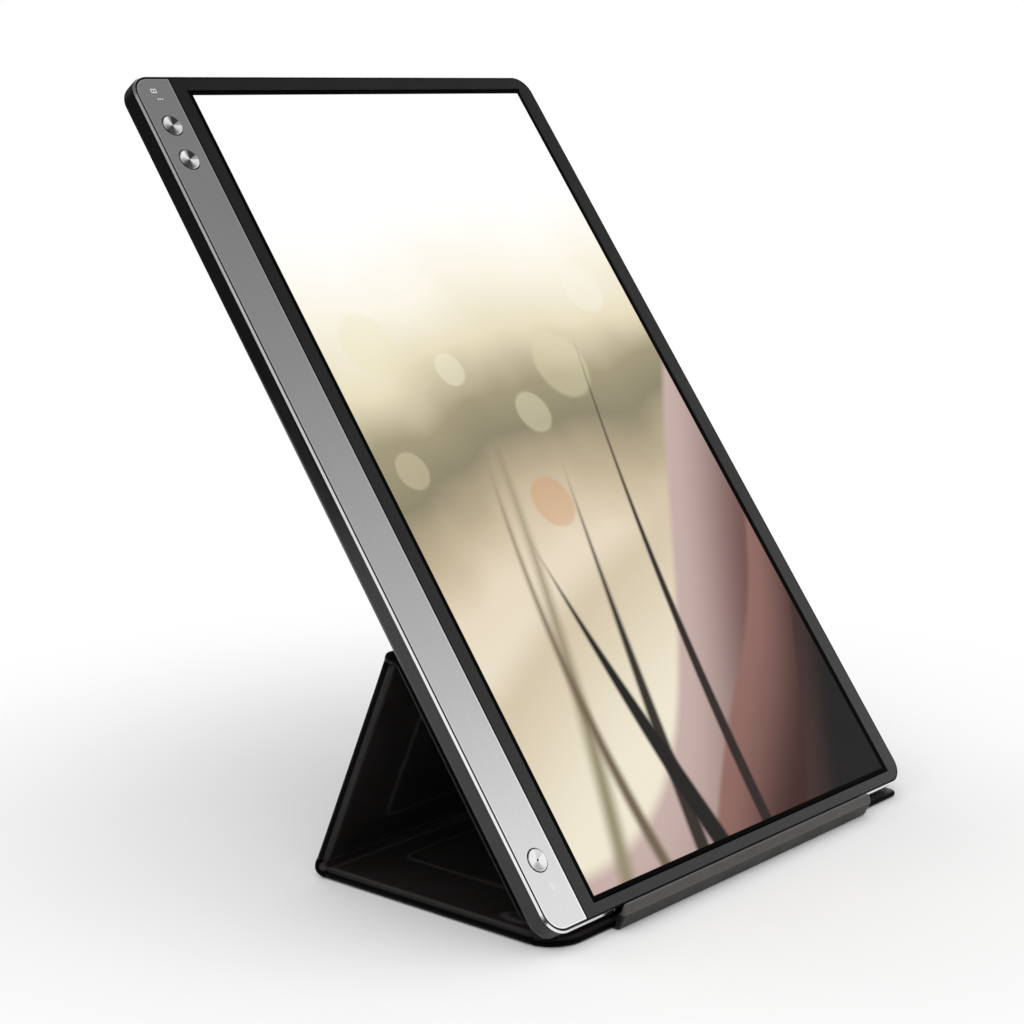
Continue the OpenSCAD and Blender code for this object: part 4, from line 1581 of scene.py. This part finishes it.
    def lining(self) -> bpy.types.Object:
        """Builds the lining that lies in the skin's pocket, with what shows through it.

        Returns:
            The lining.
        """
        inset, edge = STAND.rim_w + self.clearance, self.lining_edge
        start, end = STAND.fold_land + self.clearance, self.plan.pocket_end - self.clearance
        x, y = self.grid(inset, start, end, edge)
        x = np.clip(x, inset - STAND.cover_w / 2, STAND.cover_w / 2 - inset)
        depth = box_distance(x, y, y.min(), y.max(), STAND.cover_w / 2 - inset, 0.0)
        uneven = wander(x, y, 16, self.seed + 3) * 0.07 + wander(x, y, 5, self.seed + 5) * 0.03
        soft = smooth(0.2, 3, depth) * (self.raised(x, y) + uneven)
        upper = STAND.leaf_t + rolled(depth, edge) - edge + soft
        lower = np.full_like(x, STAND.leaf_t - self.lining_t)
        points = [np.stack([x, y, z], -1) for z in (upper, lower)]
        # Painted highlights on the lining's upper face; none on its lower face.
        painted_light = (self.board_and_pad_highlights(x, y), np.zeros_like(x))
        return make_object(self.name + "_lining_cloth", closed_sheet(*points, self.place, painted_light))

    def build(self) -> None:
        """Builds the leaf's pieces and puts them on its body."""
        mount(self.skin(), self.body, Look.LEATHER, self.paints, [self.name + "_skin"])
        mount(self.lining(), self.body, Look.LINING, self.paints, [self.name + "_lining"])


@dataclass
class Fold:
    """Bare leather that runs round a fold, bulged where it is bent."""

    name: str
    node: str
    bodies: tuple[Body, Body]
    centre: Point
    start: float
    sweep: float
    seed: float
    paints: Paintbox
    ends: tuple[float, float] = (0.0, 0.0)
    bulge: float = 1.0
    flare: float = 1.1
    overlap: float = 0.012
    stitch_in: float = 4.6
    stitch_h: float = 0.096
    floor_gap: float = 0.02
    steps: int = 30

    @property
    def mid_radius(self) -> float:
        """Radius of the middle of the leather round the fold."""
        return STAND.fold_in_r + STAND.leaf_t / 2

    def leather(self) -> bpy.types.Object:
        """Builds the bent leather.

        Returns:
            The leather.
        """
        half, radius = STAND.cover_w / 2, STAND.leaf_t / 2
        shares = shares_across(half, radius, ((self.stitch_in, 1.5, 0.4),))[None, :]
        share = np.linspace(-self.overlap, 1 + self.overlap, self.steps)[:, None]
        run = np.clip(share, 0, 1)
        bend = np.sin(np.pi * run)
        x = shares * (half + self.flare * bend)
        depth = half - np.abs(shares) * half + 0 * share
        body = rolled(depth, radius)
        soft = smooth(0, 1.8, depth)
        stand_off = self.ends[0] * (1 - run) + self.ends[1] * run + self.bulge * bend
        turn = np.radians(self.start + self.sweep * share)
        around = np.degrees(turn) + 0 * x
        creases = wander(x, around * 0.16, 2.6, self.seed)
        outer = self.mid_radius + body + soft * (stand_off + 0.06 * bend * creases)
        outer = outer - self.stitch_h * ridge_line(depth - self.stitch_in, 0.6) * bend
        wrinkles = 0.12 * wander(x, around * 0.3, 3.5, self.seed + 2)
        inner = self.mid_radius - body + soft * bend * wrinkles
        made = []
        for reach in (outer, inner):
            y = self.centre[0] + reach * np.cos(turn)
            z = np.maximum(self.centre[1] + reach * np.sin(turn), self.floor_gap)
            made.append(np.stack([x, y, z], -1))
        # Painted shade over the outer face, deepest at its edges; a painted highlight on the inner face's
        # edge shoulders with painted shade at their sides.
        painted_light = (-0.45 - 0.5 * (1 - smooth(0.3, 4.0, depth)), edge_light_and_shade(depth))
        return make_object(self.name, closed_sheet(*made, STAND.placed(), painted_light))

    def build(self) -> None:
        """Builds the fold, dresses it in leather and hides the node that it replaces."""
        piece = self.leather()
        self.paints.dress(piece, Look.LEATHER)
        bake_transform(piece)
        finish_piece(piece, [self.node])


@dataclass
class Lip:
    """Padded lip in front of the monitor's edge, and the leather tongue that it turns on."""

    paints: Paintbox
    half_w: float = 74.0
    corner_r: float = 2.2
    end_r: float = 0.55
    end_shrink: float = 0.16
    least_h: float = 0.04
    tip_z: float = 9.1
    ridge: Point = (-4.2, 5.493)
    axis: Point = (-0.6, 0.9)
    bend_from: float = 0.9
    tongue_in: float = 0.4
    tongue_z: Point = (0.03, 0.84)

    def outline(self) -> np.ndarray:
        """Rounds the lip's corners, seen from its end.

        Returns:
            Points of the outline.
        """
        corners = (
            (-1.55, 0.25, 0.35),
            (*self.ridge, 0.75),
            (-3.2, self.tip_z, 0.45),
            (-2.6, self.tip_z - 0.45, 0.35),
            (-1.15, 4.85, 0.9),
            (0.22, 0.9, 0.5),
            (-0.2, 0.02, 0.3),
            (-1.2, 0.02, 0.2),
        )
        return np.array(filleted(corners, 6))

    def ring(self, outline: np.ndarray, at: float) -> np.ndarray:
        """Shapes the outline at a place along the lip, lower and smaller towards its ends.

        Args:
            outline: Outline in the middle of the lip.
            at: Distance from its left end.

        Returns:
            The outline's points at that place.
        """
        ridge, centre = np.array(self.ridge), outline.mean(0)
        from_end = min(at, 2 * self.half_w - at)
        into = max(0.0, self.corner_r - from_end)
        drop = self.corner_r - math.sqrt(self.corner_r**2 - into**2)
        grow = max(self.least_h, 1 - drop / (self.tip_z - self.ridge[1]))
        ring = outline.copy()
        high = ring[:, 1] > self.ridge[1]
        ring[high] = ridge + (ring[high] - ridge) * grow
        edge = max(0.0, 1 - from_end / self.end_r)
        ring = centre + (ring - centre) * (1 - self.end_shrink * (1 - math.sqrt(1 - edge**2)))
        sag = 0.05 * noise.noise(Vector((at / 17, 2.5, 0))) + 0.03 * noise.noise(Vector((at / 5, 6.5, 0)))
        ring[:, 0] -= sag * smooth(1.5, 5, ring[:, 1])
        return np.column_stack([np.full(len(ring), at - self.half_w), ring])

    def pad(self) -> bpy.types.Object:
        """Builds the padded lip with its rounded ends.

        Returns:
            The lip.
        """
        outline, length = self.outline(), 2 * self.half_w
        rings = [self.ring(outline, at) for at in stations(length, 2.6, ((0, 5, 0.35), (length, 5, 0.35)))]
        count, faces = len(outline), []
        for i in range(len(rings) - 1):
            for j in range(count):
                k = (j + 1) % count
                faces.append([i * count + j, i * count + k, (i + 1) * count + k, (i + 1) * count + j])
        last = (len(rings) - 1) * count
        faces += [list(range(count))[::-1], list(range(last, last + count))]
        return make_object("lip_padding", mesh_from(np.concatenate(rings), faces, STAND.placed()))

    def tongue(self) -> bpy.types.Object:
        """Builds the thin leather between the base leaf and the lip.

        Returns:
            The tongue.
        """
        half = self.half_w - self.tongue_in
        x = np.linspace(-half, half, 75)
        y = np.concatenate([np.linspace(4.2, 1.2, 7), np.linspace(1.0, -0.7, 9)])
        grid_x, grid_y = np.meshgrid(x, y)
        upper = self.tongue_z[1] + 0.03 * wander(grid_x, grid_y, 6, 4.0)
        lower = np.full_like(grid_x, self.tongue_z[0])
        points = [np.stack([grid_x, grid_y, z], -1) for z in (upper, lower)]
        return make_object("lip_tongue", closed_sheet(*points, STAND.placed()))

    def build(self) -> None:
        """Builds the lip and its tongue."""
        mount(self.pad(), Body.LIP, Look.LIP, self.paints, ["lip_skin", "lip_lining"])
        tongue = self.tongue()
        self.paints.dress(tongue, Look.LEATHER)
        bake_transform(tongue)
        finish_piece(tongue, [])


@dataclass
class Cover:
    """The folded cover: three leaves, two folds and the lip."""

    paints: Paintbox
    front_r: float = 6.0
    near_r: float = 13.0
    far_r: float = 3.5
    run_in: float = 0.26
    ridge_bulge: float = 0.5
    rear_bulge: float = 0.12
    # Place and width of the painted highlight on the front leaf's edge.
    front_painted_highlight: Point = (0.5, 0.32)
    magnets: MagnetPad = MagnetPad(92.5, STAND.base_l - 22.5, 4.2, 8.5)

    def leaves(self) -> list[Leaf]:
        """Lays out the three leaves.

        Returns:
            The front, the rear and the base leaf.
        """
        front = LeafPlan(STAND.front_l, self.front_r, self.front_r, STAND.front_l - STAND.rim_w)
        rear = LeafPlan(STAND.rear_l, pocket_end=STAND.rear_l - STAND.fold_land)
        thick_l = STAND.base_l - STAND.trough_l
        pocket_end = thick_l - STAND.fold_land
        base = LeafPlan(STAND.base_l, self.near_r, self.far_r, pocket_end, thick_l, STAND.trough_t)
        return [
            Leaf("front_leaf", Body.MONITOR, front, STAND.front_leaf(), 1.3, self.paints,
                 painted_highlight=self.front_painted_highlight),
            Leaf("rear_leaf", Body.REAR_LEAF, rear, STAND.rear_leaf(), 4.1, self.paints, self.run_in),
            Leaf("base_leaf", Body.BASE_LEAF, base, STAND.base_leaf(), 8.2, self.paints,
                 pads=(self.magnets,)),
        ]

    def folds(self) -> list[Fold]:
        """Lays out the two folds.

        Returns:
            The ridge fold and the rear fold.
        """
        return [
            Fold("ridge_fold_bulge", "ridge_fold_leather", (Body.MONITOR, Body.REAR_LEAF),
                 (STAND.ridge_y, STAND.ridge_z), 90 + STAND.tilt, -(STAND.tilt + STAND.rear_lean), 2.0,
                 self.paints, (0.0, self.run_in), self.ridge_bulge),
            Fold("rear_fold_bulge", "rear_fold_leather", (Body.REAR_LEAF, Body.BASE_LEAF),
                 (STAND.fold_y, STAND.fold_out_r), 90 - STAND.rear_lean, -(180 - STAND.rear_lean), 5.0,
                 self.paints, (self.run_in, 0.0), self.rear_bulge),
        ]

    def build(self) -> None:
        """Builds every leather piece of the cover."""
        for part in (*self.leaves(), *self.folds(), Lip(self.paints)):
            part.build()


@dataclass
class ButtonCap:
    """A spun metal cap with a dished face, a bright rim and its keeper flange.

    The rim is given as places from the cap's radius and from its top.
    """

    name: str
    body: Body
    y: float
    paints: Paintbox
    x: float = -95.4
    radius: float = 3.86
    proud: float = 0.25
    look: Look = Look.SPUN
    rim_w: float = 0.62
    rim_drop: float = 0.02
    dish: float = 0.15
    rim: tuple[Point, ...] = (
        (-0.5, -0.005), (-0.38, 0), (-0.2, 0), (-0.1, -0.035), (-0.03, -0.11), (0, -0.22),
    )
    flange_w: float = 0.9
    flange_z: tuple[float, float, float] = (-1.9, -1.95, -2.25)
    stem_r: float = 1.5
    stem_end: float = -2.95
    dot_r: float = 0.0
    dot_drop: float = 0.165
    dot_h: float = 0.03
    turns: int = 128

    def place(self) -> Matrix:
        """Frame of the cap: its own axis is z."""
        return STAND.monitor() @ Matrix.Translation((self.x, self.y, 0))

    def profile(self) -> list[Point]:
        """Lists the cap's outline from its middle over its rim and flange to its stem.

        Returns:
            Radius and height of each point.
        """
        r, face_r, wide = self.radius, self.radius - self.rim_w, self.radius + self.flange_w
        shares = [k / 9 for k in range(10)]
        points = [(face_r * s, self.proud - self.dish * (1 - s**2) - self.rim_drop) for s in shares]
        points += [(r + out, self.proud + up) for out, up in self.rim]
        shoulder, top, under = self.flange_z
        points += [(r, shoulder), (wide, top), (wide, under)]
        points += [(self.stem_r, under), (self.stem_r, self.stem_end), (0, self.stem_end)]
        return points

    def dot_profile(self) -> list[Point]:
        """Lists the outline of the dot in the cap's middle.

        Returns:
            Radius and height of each point.
        """
        r, h, middle = self.dot_r, self.dot_h, self.proud - self.dot_drop
        shape = ((0, h), (r * 0.8, h), (r, h / 3), (r, -h), (0, -h))
        return [(at, middle + up) for at, up in shape]

    def lathe(self, profile: Sequence[Point], name: str) -> bpy.types.Object:
        """Turns a profile round the cap's axis, with the piece's own axis as z.

        Args:
            profile: Radius and height of each point.
            name: Name of the piece.

        Returns:
            The turned piece.
        """
        points, faces, n = [], [], self.turns
        for radius, height in profile:
            for k in range(n):
                turn = 2 * math.pi * k / n
                points.append((radius * math.cos(turn), radius * math.sin(turn), height))
        for i in range(len(profile) - 1):
            for k in range(n):
                m = (k + 1) % n
                faces.append([i * n + k, i * n + m, (i + 1) * n + m, (i + 1) * n + k])
        piece = make_object(name, mesh_from(np.array(points), faces))
        place = self.place()
        piece.matrix_world = Matrix.Translation(place.translation * MM) @ place.to_3x3().to_4x4()
        return piece

    def build(self) -> None:
        """Builds the cap, and its centre dot where it has one."""
        cap = self.lathe(self.profile(), self.name + "_cap")
        mount(cap, self.body, self.look, self.paints, [self.name])
        if self.dot_r:
            dot = self.lathe(self.dot_profile(), self.name + "_dot")
            mount(dot, self.body, Look.EPOXY, self.paints)


@dataclass
class StripMarks:
    """Plain printed marks beside the buttons: a small frame, a row of dots and a ring."""

    paints: Paintbox
    face_z: float = -0.15
    height: float = 0.03
    sunk: float = 0.02
    pin_r: float = 0.02
    frame_at: Point = (-96.2, 318.6)
    frame_half: Point = (1.25, 0.85)
    frame_r: Point = (0.4, 0.25)
    frame_line: float = 0.25
    frame_dot_r: float = 0.28
    dots_at: Point = (-95.9, 315.2)
    dots_pitch: float = 0.95
    dots_r: float = 0.26
    dots: int = 3
    ring_at: Point = (-94.6, 14.9)
    ring_r: Point = (1.1, 0.84)
    ring_dot_r: float = 0.3

    def raised(self, outer: Sequence[Point], inner: Sequence[Point]) -> tuple[list[Place], list[list[int]]]:
        """Joins two outlines of the same count into a flat raised ring.

        Args:
            outer: The outer outline.
            inner: The inner outline.

        Returns:
            The ring's points and faces.
        """
        n = len(outer)
        low, high = self.face_z - self.sunk, self.face_z + self.height
        lines = ((outer, low), (outer, high), (inner, high), (inner, low))
        points = [(x, y, z) for line, z in lines for x, y in line]
        faces = []
        for i in range(4):
            j = (i + 1) % 4
            faces += [[i * n + k, i * n + (k + 1) % n, j * n + (k + 1) % n, j * n + k] for k in range(n)]
        return points, faces

    def ring(self, at: Point, outer: float, inner: float, count: int = 32) -> Loop:
        """Draws a ring.

        Args:
            at: Its middle.
            outer: Its outer radius.
            inner: Its inner radius.
            count: Points in each circle.

        Returns:
            Its outer and its inner outline.
        """
        turns = [2 * math.pi * k / count for k in range(count)]
        return tuple(
            [(at[0] + r * math.cos(turn), at[1] + r * math.sin(turn)) for turn in turns]
            for r in (outer, inner)
        )

    def frame(self) -> Loop:
        """Draws the rounded frame.

        Returns:
            Its outer and its inner outline.
        """
        (x, y), loops = self.frame_at, []
        for shrink, r in zip((0.0, self.frame_line), self.frame_r):
            w, h = (half - shrink for half in self.frame_half)
            corners = [(x - w, y - h, r), (x + w, y - h, r), (x + w, y + h, r), (x - w, y + h, r)]
            loops.append(filleted(corners, 5))
        return tuple(loops)

    def add(self, name: str, loops: Sequence[Loop]) -> None:
        """Makes one mark.

        Args:
            name: Name of the piece.
            loops: Outer and inner outline of each of its parts.
        """
        points, faces = [], []
        for outer, inner in loops:
            made, sides = self.raised(outer, inner)
            faces += [[len(points) + k for k in side] for side in sides]
            points += made
        piece = make_object(name, mesh_from(np.array(points), faces, STAND.monitor()))
        piece.data.polygons.foreach_set("use_smooth", [False] * len(piece.data.polygons))
        mount(piece, Body.MONITOR, Look.MARK, self.paints)

    def build(self) -> None:
        """Builds the three marks."""
        self.add("frame_mark", [self.frame(), self.ring(self.frame_at, self.frame_dot_r, self.pin_r)])
        places = [(self.dots_at[0] + self.dots_pitch * k, self.dots_at[1]) for k in range(self.dots)]
        self.add("dots_mark", [self.ring(at, self.dots_r, self.pin_r) for at in places])
        ring = self.ring(self.ring_at, *self.ring_r, 48)
        self.add("ring_mark", [ring, self.ring(self.ring_at, self.ring_dot_r, self.pin_r)])


@dataclass
class MonitorPieces:
    """The monitor's rigid pieces, which keep their own shapes, and the caps and marks on them."""

    paints: Paintbox
    menu_down: float = 20.8
    input_down: float = 34.9
    power_up: float = 24.3
    power_dot_r: float = 0.42

    def finishes(self) -> dict[str, Look]:
        """Chooses the finish of each node that keeps its own shape.

        Returns:
            The finish of each node's name.
        """
        looks = {
            Look.HOUSING: ("rear_cover",),
            Look.TRIM: ("trim_ring",),
            Look.BEZEL: ("front_bezel",),
            Look.STRIP: ("control_strip",),
            Look.FOAM: ("display_gasket",),
            Look.SCREEN: ("display_glass",),
            Look.FILM: ("diffuser_sheets", "reflector_sheet"),
            Look.ACRYLIC: ("light_guide",),
            Look.PHOSPHOR: ("led_bar",),
            Look.STEEL: ("display_pan", "board_screws", "port_shell"),
            Look.AMBER: ("display_flexes", "display_cable", "button_cable"),
            Look.BOARD: ("timing_board", "main_board", "power_board"),
            Look.EPOXY: ("main_chips", "button_switches", "port_tongue"),
            Look.NICKEL: ("monitor_magnets", "front_leaf_magnets", "base_magnets", "lip_core"),
            Look.GREYBOARD: ("front_leaf_board", "rear_leaf_board", "base_leaf_board"),
        }
        return {name: look for look, names in looks.items() for name in names}

    def build(self) -> None:
        """Dresses the kept nodes and adds the caps and marks."""
        for name, look in self.finishes().items():
            self.paints.dress(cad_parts[name], look)
            LOG.info("%s dressed in %s", name, look.value.name)
        for name, body, down in (
            ("menu_button", Body.MENU, self.menu_down),
            ("input_button", Body.INPUT, self.input_down),
        ):
            ButtonCap(name, body, STAND.monitor_l - down, self.paints).build()
        ButtonCap(
            "power_button",
            Body.POWER,
            self.power_up,
            self.paints,
            look=Look.SPUN_BRIGHT,
            dot_r=self.power_dot_r,
        ).build()
        StripMarks(self.paints).build()


# ---------------------------------------------------------------- studio


@dataclass(frozen=True)
class Lamp:
    """One soft square lamp: its place and side in metres and its power in watts."""

    name: str
    at: Place
    power: float
    size: float

    def build(self) -> None:
        """Adds the lamp, pointed at the object and not mirrored in it."""
        light = bpy.data.lights.new(self.name, "AREA")
        light.energy, light.size = self.power, self.size
        lamp = bpy.data.objects.new(self.name, light)
        lamp.visible_glossy = False
        lamp.location = self.at
        lamp.rotation_mode = "QUATERNION"
        lamp.rotation_quaternion = (Vector((0, 0, 0.1)) - Vector(self.at)).to_track_quat("-Z", "Y")
        bpy.context.scene.collection.objects.link(lamp)


@dataclass
class Studio:
    """Pale floor, white surroundings, soft lamps and the camera.

    The mirrored levels run from straight below to straight up, shifted by the sideways direction.
    """

    floor_half: float = 60.0
    floor_z: float = -0.0002
    floor_tones: tuple[Colour, Colour] = ((0.93, 0.93, 0.93), (0.95, 0.95, 0.95))
    shadow_from: float = 0.12
    shadow_to: float = 0.36
    mirrored_to: tuple[float, float] = (0.54, 0.82)
    mirrored_dim: float = 0.95
    ambient: float = 0.85
    side_shift: tuple[float, float, float, float] = (0.5, 0.8, -0.109, 0.125)
    left_shift: float = 0.059
    mirrored: tuple[tuple[float, float], ...] = (
        (0.05, 0.05), (0.20, 0.05), (0.36, 1.0), (0.53, 1.0), (0.55, 0.80), (0.57, 0.64),
        (0.60, 0.55), (0.64, 0.42), (0.69, 0.28), (0.74, 0.21), (0.80, 0.15), (1.0, 0.10),
    )
    lamps: tuple[Lamp, ...] = (
        Lamp("key_lamp", (-0.9, -0.9, 1.5), 5, 1.1),
        Lamp("fill_lamp", (1.3, -0.7, 0.9), 2.5, 1.2),
        Lamp("back_lamp", (-0.6, 1.4, 1.1), 3, 1.2),
    )
    lens: float = 76.07
    sensor: float = 36.0
    clip: tuple[float, float] = (0.05, 200.0)
    camera_at: Place = (-0.590855, -0.500949, 0.263468)
    camera_turn: tuple[float, float, float, float] = (0.70075457, 0.57963783, -0.26276151, -0.32236533)

    def floor(self) -> None:
        """Makes the floor, which keeps the object's shadow and is plain white beyond it."""
        s = self.floor_half
        mesh = bpy.data.meshes.new("floor")
        mesh.from_pydata([(-s, -s, 0), (s, -s, 0), (s, s, 0), (-s, s, 0)], [], [(0, 1, 2, 3)])
        piece = bpy.data.objects.new("floor", mesh)
        piece.location.z = self.floor_z
        bpy.context.scene.collection.objects.link(piece)
        mesh.materials.append(self.floor_material())

    def floor_material(self) -> bpy.types.Material:
        """Makes the floor's finish, and dims the far floor where gloss mirrors it.

        Returns:
            The material.
        """
        graph = Graph("pale_floor")
        tone = graph.span(graph.noise(6, 4), 0.3, 0.7, 0.0, 1.0)
        graph.set(Base_Color=graph.mix(tone, *self.floor_tones), Roughness=0.9, Specular_IOR_Level=0.1)
        away = graph.add("ShaderNodeVectorMath", operation="LENGTH")
        graph.put(away.inputs[0], graph.place)
        distance = away.outputs["Value"]
        dim = graph.span(distance, *self.mirrored_to, 0.0, self.mirrored_dim)
        dim = graph.calc("MULTIPLY", dim, graph.rays("Is Glossy Ray"))
        white = graph.add("ShaderNodeEmission")
        graph.put(white.inputs["Strength"], graph.calc("SUBTRACT", 1.0, dim))
        far = graph.span(distance, self.shadow_from, self.shadow_to, 0.0, 1.0)
        seen = graph.rays("Is Camera Ray", "Is Glossy Ray", "Is Transmission Ray")
        fade = graph.add("ShaderNodeMixShader")
        graph.put(fade.inputs[0], graph.calc("MULTIPLY", seen, far))
        graph.put(fade.inputs[1], graph.shader.outputs[0])
        graph.put(fade.inputs[2], white.outputs[0])
        graph.put(graph.tree.nodes["Material Output"].inputs["Surface"], fade.outputs[0])
        return graph.material

    def world(self) -> None:
        """Makes the white surroundings, dimmer overhead and at the horizon where gloss mirrors them."""
        world = bpy.data.worlds.new("studio")
        bpy.context.scene.world = world
        world.use_nodes = True
        nodes = Nodes(world.node_tree)
        nodes.tree.nodes.clear()
        layer = self.backdrop(nodes, (1, 1, 1, 1), self.ambient)
        for kinds, colour in (
            (("Is Glossy Ray", "Is Transmission Ray"), self.mirrored_colour(nodes)),
            (("Is Camera Ray",), (1, 1, 1, 1)),
        ):
            choice = nodes.add("ShaderNodeMixShader")
            nodes.put(choice.inputs[0], nodes.rays(*kinds))
            nodes.put(choice.inputs[1], layer)
            nodes.put(choice.inputs[2], self.backdrop(nodes, colour, 1.0))
            layer = choice.outputs[0]
        nodes.put(nodes.add("ShaderNodeOutputWorld").inputs[0], layer)

    def backdrop(self, nodes: Nodes, colour: Feed, strength: float) -> Socket:
        """Adds a plain background.

        Args:
            nodes: The world's nodes.
            colour: Its colour.
            strength: Its strength.

        Returns:
            The background.
        """
        node = nodes.add("ShaderNodeBackground")
        nodes.put(node.inputs[0], colour)
        nodes.put(node.inputs[1], strength)
        return node.outputs[0]

    def mirrored_colour(self, nodes: Nodes) -> Socket:
        """Works out the surroundings that metal and gloss mirror.

        Args:
            nodes: The world's nodes.

        Returns:
            Their colour in the mirrored direction.
        """
        apart = nodes.add("ShaderNodeSeparateXYZ")
        nodes.put(apart.inputs[0], nodes.add("ShaderNodeTexCoord").outputs["Generated"])
        x, z = apart.outputs[0], apart.outputs[2]
        side = nodes.span(x, *self.side_shift, kind="LINEAR")
        shift = nodes.calc("MULTIPLY_ADD", nodes.calc("LESS_THAN", x, 0.0), self.left_shift, side)
        stops = [(height, (level, level, level)) for height, level in self.mirrored]
        return nodes.ramp(nodes.calc("ADD", shift, z), stops)

    def camera(self) -> None:
        """Makes the camera at the photograph's place."""
        data = bpy.data.cameras.new("camera")
        data.lens, data.sensor_width = self.lens, self.sensor
        data.clip_start, data.clip_end = self.clip
        camera = bpy.data.objects.new("camera", data)
        camera.location = self.camera_at
        camera.rotation_mode = "QUATERNION"
        camera.rotation_quaternion = Quaternion(self.camera_turn)
        bpy.context.scene.collection.objects.link(camera)
        bpy.context.scene.camera = camera

    def build(self) -> None:
        """Builds the whole studio."""
        bpy.context.scene.view_settings.view_transform = "Standard"
        self.camera()
        self.floor()
        self.world()
        for lamp in self.lamps:
            lamp.build()
        LOG.info("studio built")


def main() -> None:
    """Builds the studio and every piece of the object, in order."""
    logging.basicConfig(level=logging.INFO, format="%(name)s: %(message)s")
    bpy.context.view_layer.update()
    paints = Paintbox()
    Studio().build()
    MonitorPieces(paints).build()
    Cover(paints).build()


if __name__ == "__main__":
    main()
